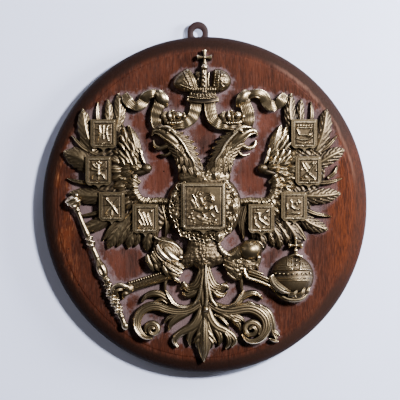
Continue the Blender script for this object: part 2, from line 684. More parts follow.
def vanes(pitch, depth, start=0):
    """Feather carving: long strands that leave the raised quill at a low angle."""
    def carve(along, across, half, share):
        phase = (along - 2.4 * np.abs(across) * half) / pitch + start + 0.1 * np.sin(along * 0.8 + 3 * across)
        groove = (0.5 - 0.5 * np.cos(2 * math.pi * phase)) ** 1.4
        quill = 0.45 * bell(across, 0.14) - 0.3 * bell(np.abs(across) - 0.26, 0.12)
        return -depth * groove * step(np.abs(across), 0.12, 0.4) + quill * (1 - 0.5 * share)
    return carve


def lobed(shape, half, length, lobes=0.07):
    """Half widths spread finely along a feather, with its barbs' ends showing as lobes."""
    share = np.linspace(0, 1, 60)
    wave = 1 + lobes * np.cos(2 * math.pi * share * length / 9) * step(share, 0.2, 0.5)
    return spread(shape, share) * half * wave


def quill(root, tip, half, bow, crest, broad, seed=0):
    """A flight feather: a broad one with lobed edges and strands, or a thin fluted one."""
    length = float(np.hypot(tip[0] - root[0], tip[1] - root[1]))
    path = bowed(root, tip, bow)
    crests = [crest, crest, crest * 0.98, crest * 0.86, crest * 0.62]
    if not broad:
        return blade(path, np.array(THIN) * half, crests, flutes(2, 0.55), rise=0.35, power=4, tone=-0.06)
    carve = vanes(9, 0.85, 0.37 * seed)
    return blade(
        path, lobed(BROAD, half, length, 0.06), crests, carve, rise=0.34, across=27, rings=90, tone=-0.05)


# %% Wing web and small feathers
# The web's inner edge, from the arm pit round the wrist to the top, and its outer edge
WEB_INNER = [
    [46, 6], [60, 6], [74, 7], [81, 14], [83, 24], [84, 33], [76, 42], [78, 56], [84, 70], [90, 82], [98, 98],
]
WEB_OUTER = [
    [46, -18], [56, -34], [76, -38], [98, -28], [120, -22], [127, 0], [132, 14], [142, 30], [142, 56],
    [136, 78], [132, 102],
]


def wing_web():
    """A low sheet between the wing's inner and outer edges, barbed along its quills."""
    inner = smooth_path(WEB_INNER, 170)[0]
    outer = smooth_path(WEB_OUTER, 170)[0]
    share = np.linspace(0, 1, 70)[:, None, None]
    flat = outer + (inner - outer) * share
    along = np.linspace(0, 150, 170)[None, :] - 22 * share[..., 0]
    groove = (0.5 - 0.5 * np.cos(2 * math.pi * along / 4.6)) ** 2
    lip = step(share[..., 0], 0, 0.06) * (1 - 0.5 * step(share[..., 0], 0.8, 1))
    height = 5.8 + 2.8 * lip - 0.9 * groove + 0.35 * rough(flat[..., 0], flat[..., 1], 6, 3)
    points = np.concatenate([flat, height[..., None]], axis=-1)
    return patch(points, 0.42 - 0.3 * groove + 0 * height)


def leaf(root, tip, half, crest, carve, bow=0, tone=0):
    """A small feather: its half width and its crest swell in the middle of its bowed path."""
    crests = [crest * 0.86, crest, crest, crest * 0.82]
    rings = int(np.clip(np.hypot(tip[0] - root[0], tip[1] - root[1]) / 0.7, 12, 60))
    return blade(
        bowed(root, tip, bow), np.array(LEAF) * half, crests, carve, rise=0.6, rings=rings, tone=tone)


WRIST = np.array([75, 44])


def fan(centre, near, far, first, last, count, half, crest, bow=0, seed=0):
    """Leaves that fan out round a centre, each turned, sized and raised a little by chance."""
    dice = np.random.default_rng(seed)
    shells = []
    for turn in np.linspace(first, last, count):
        heading = math.radians(turn + dice.uniform(-6, 6))
        lean = math.radians(turn + dice.uniform(-14, 14))
        root = centre + (near + dice.uniform(-2, 2)) * np.array([math.cos(heading), math.sin(heading)])
        tip = root + (far - near + dice.uniform(-2, 2)) * np.array([math.cos(lean), math.sin(lean)])
        size = half * dice.uniform(0.85, 1.2)
        carve = vanes(5.2, 0.55, dice.uniform(0, 1)) if dice.uniform() > 0.4 else flutes(3, 0.6)
        shells.append(leaf(
            root, tip, size, crest + dice.uniform(-0.8, 0.8), carve, bow, dice.uniform(-0.12, 0.06)))
    return shells


def small_feathers():
    """Coverts: rows of leaves from the wrist out and down the arm, and slim ones above it."""
    shells = []
    shells += fan(WRIST, 24, 41, -40, 34, 8, 4.2, 11.8, 0.6, 3)
    shells += fan(WRIST, 12, 29, -34, 70, 10, 3.6, 13, 0.6, 2)
    shells += fan(WRIST, 3, 16, -16, 60, 7, 3, 13.8, 0.4, 1)
    shells += fan(np.array([66, 20]), 14, 29, -72, 26, 9, 3.2, 12.6, -0.3, 4)
    shells += fan(np.array([66, 20]), 24, 42, -66, 22, 9, 3.6, 11.4, -0.3, 5)
    shells.append(leaf([90, 60], [98.5, 95], 5, 12.2, vanes(6, 0.9), -1))
    shells.append(leaf([79, 52], [91, 95], 7.2, 13.4, vanes(7, 1), -0.6))
    shells.append(blade(
        bowed([82, 64], [89, 93], -0.8), [1.4, 1.9, 1.9, 1.3, 0.4], [13.8, 14.8, 14.6, 12.6], across=11))
    shells.append(blade(bowed([93, 72], [96.5, 92], -0.8), [0.9, 1.4, 1.3, 0.4], [12.6, 13.2, 12], across=11))
    dice = np.random.default_rng(21)
    for row in range(4):
        for place in np.linspace(71 + 3.6 * row, 96 - 0.4 * row, 6 - row):
            heading = math.radians(dice.uniform(40, 78))
            start = np.array([place + dice.uniform(-1, 1), 49 + 7.4 * row + dice.uniform(-1.6, 1.6)])
            end = start + dice.uniform(10, 14) * np.array([math.cos(heading), math.sin(heading)])
            crest = 14.9 - 0.35 * row + dice.uniform(-0.5, 0.5)
            shells.append(blade(
                bowed(start, end, dice.uniform(-1, 1)),
                np.array([0.3, 0.8, 1, 0.8, 0.25]) * dice.uniform(1.8, 2.4),
                [crest, crest, crest - 0.2, crest - 0.8], rise=0.55, rings=20, across=11, tone=-0.04))
    return shells


def wing_arm():
    """The thick edge from the body out under the wrist, under short leaves, and the wrist's knob."""
    path = [[43, 3.5], [54, 4.6], [66, 4], [76, 6], [82, 14], [84, 26], [82, 36]]
    edge = blade(
        path, [4.2, 4.4, 4.4, 4.6, 4.2, 3.6, 2.4], [14, 13.6, 13.6, 13.4, 12.6, 12, 11], grainy(2.6, 0.4, 71),
        rings=110, tone=-0.1)
    dice = np.random.default_rng(8)
    line, way, _ = smooth_path(path, 19)
    tufts = []
    for spot_at, heading in zip(line[1:-1], way[1:-1]):
        outward = spot_at - np.array([64, 26])
        outward = outward / np.linalg.norm(outward)
        tip = spot_at + dice.uniform(4, 7) * outward + dice.uniform(1, 4) * heading
        root = spot_at - dice.uniform(3.2, 4.4) * outward - 1.5 * heading
        tufts.append(leaf(root, tip, dice.uniform(2.2, 3), 14.6 + dice.uniform(-0.7, 0.7), flutes(2, 0.6),
                          tone=dice.uniform(-0.1, 0.08)))
    knob = dome(69.5, 43.8, 6.6, 5.6, 8, 14.2, sides=40, rings=16)
    joint = blade(
        [[66, 42], [77, 39], [88, 36]], [3.6, 4.4, 2.6], [11.6, 11.6, 10.4], rise=0.6, across=19, tone=-0.35)
    return [edge, *tufts, *duller([knob, joint], 0.3), ball(67.6, 45.2, 1, 14.8)]


def make_wing(left=False):
    """One wing, drawn on the +X side. The left one has a broader feather and lacks a quill."""
    feathers = list(WING_FEATHERS)
    if left:
        feathers[BROADER] = ([128, 41], [168, 63], 12.5, -2.5, 10.8, True)
        del feathers[LEFT_OUT]
    quills = [quill(*feather, seed=i) for i, feather in enumerate(feathers)]
    dull_small, dull_quills = (0.3, 0.04) if left else (-0.14, 0.36)
    shells = [wing_web(), *duller(small_feathers(), dull_small), *duller(wing_arm(), 0.3)]
    return shells + duller(quills, dull_quills)


print("wing", count_triangles(make_wing()), "triangles")

# %% [markdown]
# ## Breast, chain and belly
#
# The breast is a dome under uneven pebbles, like mail, with a collar of links and small
# medallions round it. The belly below is pebbled too, down to the root of the tail. A pad
# is a dome with a free outline, for bodies and thighs that no ellipse fits.

# %% Body
def pad(outline, edge, crest, carve, rings, sides):
    """A boss with a free outline, counter-clockwise, crowned over its middle point."""
    rings, sides = int(PAD_FINENESS[0] * rings), int(PAD_FINENESS[1] * sides)
    given = np.asarray(outline, float)
    line = smooth_path(np.concatenate([given[-2:], given, given[:2]]), 8 * sides)[0]
    away = np.hypot(*(line - given[0]).T)
    first, last = int(np.argmin(away[:4 * sides])), 4 * sides + int(np.argmin(away[4 * sides:]))
    closed = line[first:last + 1]
    run = np.concatenate([[0], np.cumsum(np.hypot(*np.diff(closed, axis=0).T))])
    at = np.linspace(0, run[-1], sides, endpoint=False)
    rim = np.stack([np.interp(at, run, closed[:, axis]) for axis in (0, 1)], axis=-1)
    middle = rim.mean(axis=0)
    share = np.sin(np.linspace(math.pi / 2, 0.02, rings))[:, None]
    px = middle[0] + (rim[:, 0] - middle[0])[None, :] * share
    py = middle[1] + (rim[:, 1] - middle[1])[None, :] * share
    crown = np.sqrt(np.maximum(1 - share**2, 0)) * np.ones((1, sides))
    cut = carve(px, py, share)
    top = np.stack([px, py, edge + (crest - edge) * crown + cut], axis=-1)
    foot = top[:1] * [1, 1, 0] + [0, 0, BASE]
    shade = 0.3 + 0.4 * crown + 0.42 * cut
    return tube(np.concatenate([foot, top]), np.concatenate([0 * shade[:1], shade]))


def scale_coat(pitch, width, depth, down=-90):
    """Scales over a dome, their lips pointing in a direction given in degrees."""
    c, s = math.cos(math.radians(down)), math.sin(math.radians(down))

    def carve(x, y, share):
        fade = 1 - step(share, 0.9, 1)
        return depth * fade * (scales((x * c + y * s) / pitch, (y * c - x * s) / width) - 0.5)
    return carve


COLLAR_CENTRE = (-1, -4)
COLLAR_RADII = (37.5, 38.5)
COLLAR_STEPS = 40
# The collar is open at the top, this many degrees to each side of upright
COLLAR_GAP = 34


def collar():
    """The order's chain: small medallions and uneven links round the breast."""
    shells = []
    (cx, cy), (rx, ry) = COLLAR_CENTRE, COLLAR_RADII
    dice = np.random.default_rng(3)
    for i in range(COLLAR_STEPS):
        turn = 2 * math.pi * (i + 0.5) / COLLAR_STEPS
        if abs(math.degrees(turn) - 90) < COLLAR_GAP:
            continue
        reach = 1 + dice.uniform(-0.035, 0.035)
        x = cx + rx * reach * math.cos(turn)
        y = cy + ry * reach * math.sin(turn)
        lean = math.degrees(math.atan2(ry * math.cos(turn), -rx * math.sin(turn)))
        high = 19.6 + dice.uniform(-0.7, 0.5)
        if i % 5 == 0:
            shells.append(dome(x, y, 3.6, 3.6, high - 3, high + 0.4, sides=22, rings=8))
            shells.append(link(x, y, 3.8, 3.8, 0.7, high - 1))
        else:
            wide, tall = dice.uniform(2.2, 3), dice.uniform(1.6, 2.2)
            shells.append(link(x, y, wide, tall, 0.75, high - 0.6, lean + dice.uniform(-40, 40)))
        inward = 0.87 + dice.uniform(-0.02, 0.02)
        bead = dice.uniform(0.9, 1.6)
        shells.append(ball(cx + (x - cx) * inward, cy + (y - cy) * inward, bead, high + 0.6))
    return duller(shells, 0.24)


def skin(coarse, fine):
    """Coarse and fine pebbles together: the sum of their heights."""
    lumps, coat = pebbles(*coarse), pebbles(*fine)
    return lambda x, y, share, angle=None: lumps(x, y, share) + coat(x, y, share)


def breast():
    """The breast, a dome under its pebbles, and the collar round it."""
    body = dome(
        -1, -3, 45.5, 43.5, 7, 22.2, skin((4.2, 1.6, 11), (2.3, 0.9, 12)), sides=240, rings=80, power=2.4)
    return [*duller([body], 0.2), *collar()]


def medallion(x, y, radius, crest):
    """A round or oval boss with a beaded rim and a small bird on it."""
    def device(u, w, share, angle):
        bird = heap(
            stroke(u, w, [(0, radius * 0.5), (0, -radius * 0.5)], radius * 0.22, 0.9),
            stroke(u, w, [(-radius * 0.55, radius * 0.35), (0, 0), (radius * 0.55, radius * 0.35)],
                   radius * 0.16, 0.8))
        return bird + 0.7 * bell(share - 0.86, 0.12) - 0.5
    return dome(x, y, radius, radius * 1.1, crest - 4, crest, device, sides=36, rings=16)


def rosettes():
    """The larger medallions and scrolls that hang on the collar."""
    places = [
        (34, -3, 6.6), (29, -17, 4.6), (17, -38, 6.2), (-34, -12, 4.6), (35, 12, 4.2), (-36, 10, 4.4),
        (13, 35, 6), (-9, 36, 5),
    ]
    return duller([medallion(x, y, radius, 22.4) for x, y, radius in places], 0.1)


def belly():
    """The lower body under its pebbles, the shoulders under their scales, a cord and a ring."""
    lower = [
        [-20, -36], [-21, -46], [-24, -56], [-31, -63], [-33, -71], [-24, -76], [-13, -74], [-7, -78],
        [-1, -84], [6, -78], [12, -73], [22, -70], [25, -62], [20, -54], [18, -46], [19, -37], [0, -30],
    ]
    low = pad(lower, 8, 17.5, skin((4.6, 1.2, 21), (2.4, 0.75, 22)), rings=60, sides=190)
    cord = blade(
        [[16, -46], [19, -53], [25, -58.5], [32, -61]], [2.4, 3.2, 3.4, 1.8], [16.5, 19, 19.4, 16],
        rungs(4, 0.7), across=13, rings=60)
    shoulder = [
        [22, 20], [31, 33], [24, 44], [8, 46], [-1, 42], [-10, 46], [-26, 44], [-32, 33], [-24, 20], [0, 16],
    ]
    high = pad(shoulder, 10, 20.5, scale_coat(5, 5, 1.3, -80), rings=36, sides=120)
    ring = [link(15.5, -36, 8, 5, 1.1, 18.4, 4), link(15.5, -36, 5.2, 2.8, 0.8, 18.2, 4)]
    return [*duller([low], 0.62), *duller([high], 0.16), cord, *duller(ring, 0.2)]


# %% [markdown]
# ## Heads
#
# Each neck has a ridge from which a fringe of feathers falls inwards; the outer side is
# covered in small leaves. The beak is open over a curled lower jaw and a second curl.
# Both heads are one drawing, mirrored, as on the casting.

# %% Heads and necks
RIDGE = [[12, 42], [14, 53], [20, 62], [24.5, 71], [31, 79.5], [39.5, 87.5]]


def fringe():
    """Pointed feathers that leave the neck's ridge inwards and a little down."""
    feathers = [
        ([37, 85.5], [24.5, 86], 3.2, 16.4), ([34, 81.5], [18, 81], 3.8, 17),
        ([30, 77], [12.5, 75], 4.4, 17.6), ([26.5, 72], [9, 67.5], 4.6, 18.2),
        ([23.5, 66.5], [7, 60], 4.6, 18.4), ([20.5, 61], [5, 53], 4.6, 18.6),
        ([18, 56], [4, 46.5], 4.4, 18.8), ([15, 50], [3.2, 39.5], 4.2, 19),
    ]
    rows = [(bowed(root, tip, -1.8), half, crest) for root, tip, half, crest in feathers]
    widths, falls = [0.75, 1, 0.95, 0.62, 0.12], [0.6, 0, -1, -2.6]
    return blades(rows, widths, falls, flutes(3, 0.6), -0.16, rise=0.35, rings=40, across=21)


def throat_leaves():
    """Small leaves laid down the outer side of the neck."""
    leaves = [
        ([24, 69], [20, 54], 3.4, 19.4), ([19, 56], [15, 40], 3.8, 20), ([29, 70], [26, 55], 3, 18.4),
        ([23, 56], [22, 42], 3.4, 19.2), ([33, 69], [32, 56], 2.8, 17.2), ([28, 57], [29, 44], 3, 17.8),
        ([14, 46], [8, 32], 4, 20.2), ([19, 43], [15, 31], 3.4, 19.8), ([26, 46], [24, 34], 3, 18.6),
        ([32, 57], [34, 47], 2.4, 15.5), ([31, 48], [31, 38], 2.4, 16.5),
    ]
    rows = [(bowed(root, tip, 1.2), half, crest) for root, tip, half, crest in leaves]
    return blades(
        rows, [0.7, 1, 0.95, 0.7, 0.2], [0, 0.3, 0, -1.4], flutes(2, 0.55), -0.12, rise=0.4, rings=30)


def head():
    """One head and neck, facing +X."""
    tips = vanes(8, 0.75)

    def strands(along, across, half, share):
        return tips(along, across, half, share) + 0.3 * rough(along, across * half, 4, 37)
    neck = blade(
        [[9, 28], [15, 42], [23, 56], [31, 68], [41, 79]], [15, 13.5, 12, 11, 9.5],
        [18.5, 19, 18.6, 17.6, 16.6], strands, rise=0.4, rings=110, across=41, tone=-0.1)
    ridge = blade(
        RIDGE, [1, 1.8, 2, 2.1, 2.2, 1.8], [20.5, 22, 22, 21.6, 21.2, 20.4], rise=0.9, across=11, rings=70)
    beak = blade(
        [[33, 73], [43, 81.5], [52, 87.2], [59, 88], [63, 82]], [9, 9, 5.6, 3.6, 0.5],
        [17.4, 19, 18.6, 16.6, 12.5], rise=0.75, rings=80, across=25)
    brow = blade(
        [[34, 85], [40, 90], [47, 92.5], [55, 92]], [1.8, 2.4, 2.2, 0.8], [20.6, 20.8, 20, 18], rise=0.8,
        across=11, rings=36)
    knot = [dome(42.5, 88.5, 3.4, 2.8, 17, 21.2, sides=24, rings=10), ball(44.6, 85.8, 1.5, 21)]
    lip = blade(
        [[44, 75.5], [50, 80.4], [55, 84.2], [60.5, 85.2]], [1, 1.3, 1.2, 0.5], [18.6, 18.4, 17.2, 14.5],
        across=9, rings=40)
    nostril = ball(53.5, 89.2, 0.9, 19.2)
    jaw = blade(
        [[39, 73.5], [46, 70], [53, 67.6], [58.8, 70], [61, 77]], [3.2, 2.6, 2.4, 2, 0.5],
        [13.5, 13.5, 13, 12, 10], rise=0.6, rings=60)
    curl = blade(
        [[32, 71], [37.5, 67], [41, 62], [46, 59], [53.5, 60.5]], [2.6, 2, 1.8, 1.6, 0.4],
        [15, 14, 12.5, 11, 9], rings=50, across=13, tone=-0.14)
    chin = blade([[30, 62], [36, 68], [42, 72]], [5, 5, 3.6], [15, 15.5, 14.5], rise=0.5, rings=30)
    cheek = [
        blade([[29 + 2.6 * i, 64 + 1.5 * i], [36 + 2.6 * i, 71 + 1.5 * i], [43 + 2.2 * i, 76.5 + 1.2 * i]],
              [0.7, 1.2, 0.5], [18.4, 19.2, 19.4], across=9, rings=24)
        for i in range(3)
    ]
    return [
        neck, ridge, beak, brow, *knot, lip, nostril, jaw, curl, chin, *cheek, *fringe(), *throat_leaves(),
    ]


# %% [markdown]
# ## Crowns and ribbon
#
# The great crown is two swollen halves with an arch between, over a jewelled band. Its
# outline leans, so each half has its own. The ribbon leaves the crown on both sides and
# folds over itself: each fold is a blade of its own that dips under the next.

# %% Crowns
def crown_lobe(side):
    """Half of the great crown, a swollen cap with striped bands along its inner edge."""
    if side < 0:
        outline = [
            [-8.5, 136], [-9.5, 147], [-14, 157], [-20.5, 162.5], [-29, 158], [-36, 151], [-38, 144],
            [-33, 138], [-24, 134.5], [-14, 133],
        ]
    else:
        outline = [
            [24, 136], [29.5, 141], [31.5, 148], [28.5, 155.5], [22, 160.5], [15, 162], [11, 161], [9.4, 150],
            [8.6, 139], [14, 133.5],
        ]
    edge = lambda y: (-9 - (y - 137) * 0.46) if side < 0 else (9.2 + (y - 137) * 0.1) + 0 * y

    def carve(x, y, share):
        inner = np.abs(x - edge(y))
        bands = 0.9 * bell(inner - 1.2, 1) + 0.9 * bell(inner - 6, 0.9) - 0.9 * bell(inner - 7.6, 0.9)
        between = (inner > 1.5) * (inner < 5.8) * 0.6 * np.sin(y * 2.1)
        leafy = 0.55 * rough(x, y, 3.2, 7) * step(inner, 5, 8) * (1 - step(inner, 13, 19))
        return bands + between * 0.5 + leafy * (1 if side > 0 else 0.5)
    return pad(outline, 8, 18.8, carve, rings=44, sides=150)


def great_crown():
    """A mitre-like crown: two swollen halves, a pearled arch, a jewelled band and a cross."""
    def panel(x, y, share):
        return 0.6 * rough(x, y, 3, 8)
    middle = pad(
        [[-15, 128], [13, 128], [9, 138], [5.4, 142], [4.6, 150], [5.6, 157.5], [-3, 158.5], [-11, 158],
         [-12, 147], [-14, 137]],
        9, 13.5, panel, rings=26, sides=90)
    arch = blade(
        [[-0.8, 134], [-0.8, 147], [-0.4, 160]], [4.4, 4.2, 3], [17.5, 18.5, 17], flutes(2, 0.9), rise=0.4,
        across=19, tone=-0.12)
    side_bands = [
        blade([[-10.5, 137], [-13, 147], [-18.5, 159.5]], [2.6, 3, 1.8], [17, 18.6, 16.4], flutes(2, 0.7),
              rise=0.4, rings=50, across=17, tone=0.05),
        blade([[4.6, 141], [4, 149], [5.2, 157]], [0.9, 1.2, 0.8], [15, 15.5, 15], rings=30, across=9,
              tone=-0.1),
        blade([[-36.4, 143.6], [-30, 142.6], [-23, 140.2], [-14, 137]], [0.7, 1, 1, 0.8],
              [13.4, 17.6, 18.2, 17.2], rungs(2.3, 0.5), rings=90, across=9, tone=0.1),
    ]
    pearls = [ball(-0.5, y, radius, 21) for y, radius in ((141, 1.4), (146, 1.7), (151.2, 1.7), (155.4, 1.5))]
    band = blade(
        [[-18, 131.6], [-10, 130.2], [-2, 129.6], [6, 130.2], [13.5, 131.6]], [4],
        [14.5, 16.6, 17.2, 16.6, 14.5], grainy(2.4, 0.5, 31), rise=0.3, rings=90, across=25, tone=-0.35)
    flare = blade(
        [[-20.5, 125.4], [-11, 123.6], [-2, 123], [7, 123.6], [16.5, 125.4]], [2.4], [15, 17, 17.4, 17, 15],
        flutes(1, 0.9), rise=0.6, rings=80, across=19, tone=-0.5)
    hem = blade(
        [[-20, 128.4], [-2, 126.2], [16, 128.2]], [0.8], [16.2, 18.2, 16.2], rungs(2.1, 0.6), rings=100,
        across=7, tone=-0.25)
    row = [
        ball(-2 + 15 * t, 130.8 + 1.6 * t * t, 1.2, 18.4 - 2.2 * t * t)
        for t in np.linspace(-0.95, 0.95, 9)
    ]
    leaves = [
        blade([[x - 0.8, 134.5], [x + 0.2, 137.5], [x + (1.2 if i % 2 else -1), 140.5]], [1.4, 1.6, 0.6],
              [16.6, 17.8, 16], rings=14, across=9, tone=-0.2)
        for i, x in enumerate(np.linspace(-14, 12, 10))
    ]
    orb_ball = [
        ball(-0.3, 163.8, 3.8, 17.5),
        blade([[-0.3, 156], [-0.3, 161], [-0.2, 169]], [2.6, 3.4, 1.8], [14, 14, 11], rings=30, across=13,
              tone=-0.15),
    ]
    parts = [
        crown_lobe(-1), crown_lobe(1), *duller([middle], 0.2), arch, *side_bands, *pearls, band, flare, hem,
        *leaves, *orb_ball,
    ]
    return duller(parts, 0.18) + duller(row, 0.25) + duller(cross(-0.2, 167, 8.6, 17.4), 0.22)


def cross(x, foot, reach, height, crest=11.5):
    """A cross with flared arms on a stalk that rises from its foot."""
    mid = foot + height * 0.5
    flare = [1.2, 1.5, 3.1]
    arms = [
        ([x, mid], [x, foot + height]), ([x, mid], [x + reach, mid]), ([x, mid], [x - reach, mid]),
        ([x, mid], [x, foot]),
    ]
    shells = [blade([a, b], flare, [crest], flutes(1, 0.35), rings=16, across=11) for a, b in arms]
    return shells + [ball(x, mid, 2.3, crest + 1.4)]


def small_crown(x, y):
    """A little crown over one head: a beaded band, four leaves and two balls."""
    cushion = dome(x, y - 2, 12.5, 7.5, 9, 13.5, sides=50, rings=18)
    band = blade(
        [[x - 11, y - 7.5], [x, y - 9.2], [x + 11, y - 7]], [2], [15, 17, 15], rings=40, across=11, tone=-0.1)
    beads = [ball(x - 7 + 2.9 * i, y - 8.6, 1.1, 18) for i in range(6)]
    leaves = [
        blade([[x - 9, y - 6], [x - 12, y + 0.5], [x - 8.5, y + 5]], [2.2, 3.4, 1.2], [14.5, 16.5, 13.5],
              flutes(1, 0.7), rings=30, across=13, tone=-0.15),
        blade([[x - 3, y - 6], [x - 4.6, y], [x - 4.6, y + 6]], [1.6, 2.2, 1.2], [16, 18.4, 15.5], rings=26,
              across=11, tone=0.1),
        blade([[x + 0.4, y - 6], [x + 0.6, y - 1], [x - 0.6, y + 4]], [1.6, 1.8, 1], [15, 15.6, 14], rings=26,
              across=11, tone=-0.1),
        blade([[x + 11, y - 5], [x + 13, y], [x + 12, y + 4]], [1.6, 2, 1], [14, 15, 13], rings=18, across=9,
              tone=-0.1),
    ]
    return [cushion, band, *beads, *leaves, ball(x + 6.2, y + 0.6, 4.6, 19), ball(x - 1, y + 6, 1.8, 13.5)]


# %% Ribbons
RIBBON_X = {1: 50.5, -1: 56.5}


def pleated(ripple, pitch):
    """Ribbon carving: fine lengthwise threads, thin hems and soft crosswise waves."""
    def carve(along, across, half, share):
        threads = 0.5 - 0.5 * np.cos(2 * math.pi * across * half / 2)
        hems = bell(np.abs(across) - 0.84, 0.08)
        return -0.3 * threads + 0.5 * hems + ripple * np.sin(2 * math.pi * along / pitch + 0.6 * across)
    return carve


def ribbon(side):
    """The ribbon of one side, drawn for +X: under the crown, behind the head, out in waves."""
    x = RIBBON_X[side]
    wide = dict(rise=0.12, power=3, across=37)
    start = {1: [[5.5, 124], [6.5, 112], [10, 102], [19, 95.5], [31, 94], [43, 93.5]],
             -1: [[10, 124], [12, 112], [15.5, 103], [24, 96.5], [34, 95.5], [44, 93]]}[side]
    inner = blade(
        start, [6.8, 6.8, 6.6, 5.8, 5, 3.4], [12, 12.6, 13, 13.4, 13, 11.5], pleated(0.24, 9), rings=110,
        tone=-0.06, **wide)
    lip = blade(
        [[p[0] + 1.5, p[1] - 4.6] for p in start[3:]], [0.9, 1.3, 0.9], [14.6, 14.8, 13], rings=40, across=9)
    rise = blade([[x - 5, 88], [x + 0.5, 97], [x + 1, 108], [x - 2, 119], [x - 3, 126]], [7, 7.2, 7.2, 7, 6],
                 [9, 11, 12, 12.6, 11.5], pleated(0.26, 10), rings=100, tone=-0.16, **wide)
    fold = blade(
        [[x - 9, 116], [x - 7.5, 124], [x - 2, 131.5], [x + 6, 134]], [3.5, 6, 5.5, 1.2], [11, 16, 16, 12],
        rise=0.35, rings=60, across=23)
    hump = blade(
        [[x - 1, 129], [60, 132.6], [69, 130], [75, 121]], [4.5, 5.2, 5.8, 6.4], [10.5, 15, 13.5, 9.5],
        pleated(0.2, 16), rise=0.26, rings=80, across=31)
    trough = blade(
        [[71, 126], [78, 118], [87, 119]], [6, 6.2, 5], [9, 13, 11], pleated(0.2, 12), rings=60, **wide)
    tail = blade(
        [[83, 115.5], [90, 122], [96, 132]], [3.5, 6.2, 4.4], [10.5, 14, 10.5], pleated(0.2, 12), rings=60,
        **wide)
    return [inner, lip, rise, fold, hump, trough, tail]


print("breast", count_triangles(breast()), "head", count_triangles(head()), "crown",
      count_triangles(great_crown()))

# %% [markdown]
# ## Legs
#
# The thigh at the viewer's left is a swell with two bright folds over long feathers. The
# other is a smooth dome over pebbled breeches. Each shin is ridged and ends in talons,
# which are blades that turn over the staff and the globe they hold.

# %% Thighs
def left_thigh():
    """A smooth hip with two bright folds, and long feathers that fan down from it."""
    grain = pebbles(2.6, 0.9, 41)
    mass = pad(
        [[-38, -42], [-50, -38], [-60, -42], [-62, -52], [-68, -62], [-66, -74], [-56, -80], [-46, -88],
         [-36, -88], [-27, -80], [-24, -70], [-24, -60], [-27, -52]],
        8, 14, grain, rings=44, sides=140)
    arcs = lambda x, y, share, angle: 0.4 * np.cos(2 * math.pi * share * 5) * step(share, 0.2, 0.5)
    shells = duller([mass, dome(-43, -53, 18.4, 9.8, 10, 17.6, arcs, turn=-40, sides=110, rings=40)], 0.2)
    ridges = [
        ([[-56.5, -47.5], [-54, -54], [-48, -61], [-40, -67]], 3.2, 22.4, 0.15),
        ([[-47, -50.5], [-43.5, -57], [-38, -62.5], [-31.5, -66]], 4.3, 22.8, 0.15),
        ([[-60, -38], [-54, -42], [-47, -44], [-38, -46], [-30, -52]], 1.6, 16.5, -0.1),
        ([[-60, -51], [-58, -58], [-52, -65], [-44, -70.5]], 1.7, 18, -0.2),
    ]
    shells += blades(ridges, [0.6, 1, 1, 0.5], [-2, 0, 0, -2.5], rise=0.7, rings=44)
    locks = [
        ([[-62.5, -56], [-58, -63], [-52, -70]], 1.4, 16.5, -0.15),
        ([[-64, -60], [-60, -66], [-55, -73]], 1.4, 15.6, -0.15),
        ([[-58, -57], [-54, -62], [-49, -67]], 1.1, 17.4, -0.1),
        ([[-69, -60], [-67, -67], [-64, -73], [-61, -79]], 3, 14.5, -0.1),
        ([[-59, -69], [-58, -74], [-54, -79]], 2, 14, -0.2),
        ([[-50, -73], [-46.5, -79], [-44, -86]], 2.6, 17.2, 0.1),
        ([[-47, -71], [-39, -77], [-30, -82]], 1.2, 19.2, 0.15),
        ([[-44, -78], [-37, -83], [-29, -85]], 2.2, 15.5, -0.2),
        ([[-38, -84.5], [-34.5, -88.5], [-28.5, -92.5]], 1.9, 15, 0.1),
        ([[-26, -93], [-22, -98], [-18, -103]], 3, 12.5, -0.1),
    ]
    shells += blades(locks, [0.8, 1, 0.9, 0.3], [0, 0.6, 0, -2.5], flutes(1, 0.4), rise=0.55, rings=36)
    hems = [
        ([[-50, -68], [-42, -73], [-35, -77], [-27, -81]], 4.2, 17),
        ([[-42, -67], [-34, -71], [-25, -76]], 4, 17),
    ]
    shells += blades(hems, [0.7, 1, 1, 0.4], [0, 0, -2], grainy(), -0.2, rise=0.4, rings=50, across=19)
    return shells + [ball(-28.5, -62.5, 2.9, 20.6)]


def right_thigh():
    """A smooth dome, its corded cuff, and the fine-scaled breeches under it."""
    breeches = pad(
        [[18, -50], [17, -60], [20, -68], [24, -76], [30, -86], [38, -91], [46, -86], [52, -80], [60, -78],
         [67, -68], [66, -56], [52, -50], [40, -53], [30, -60], [24, -58]],
        9, 15, skin((2.2, 0.8, 51), (5, 1.2, 52)), rings=54, sides=180)
    shells = duller([breeches], 0.22)
    shells.append(dome(54, -54, 14.6, 12.6, 11, 24, turn=8, sides=120, rings=44))
    shells.append(blade(
        [[27, -61], [36, -60], [46, -54]], [5, 8.5, 7], [14, 17.5, 18], grainy(2.6, 0.25, 53), rise=0.5,
        rings=40, across=23, tone=-0.2))
    shells.append(blade(
        [[58, -43], [65, -45], [70, -51]], [1, 1.5, 0.8], [14, 15, 13], rings=40, across=9, tone=-0.1))
    rows = [
        ([[24, -66], [33, -69.5], [43, -70]], 1.2, 15.6), ([[40, -69], [50, -71], [60, -69.5]], 1.2, 16),
        ([[22, -71], [30, -75.5], [38, -77.5]], 1.2, 15.4), ([[50, -73], [55, -77], [57, -82]], 2, 14),
        ([[58, -70], [62, -73], [64, -78]], 1.8, 13), ([[27, -81], [33, -86.5], [41, -89]], 1.4, 13.4),
    ]
    shells += blades(rows, [0.7, 1, 0.3], [0, 0.4, -2], flutes(1, 0.4), -0.35, rings=30, across=13)
    return shells + [ball(64, -62.5, 2.8, 20.5)]


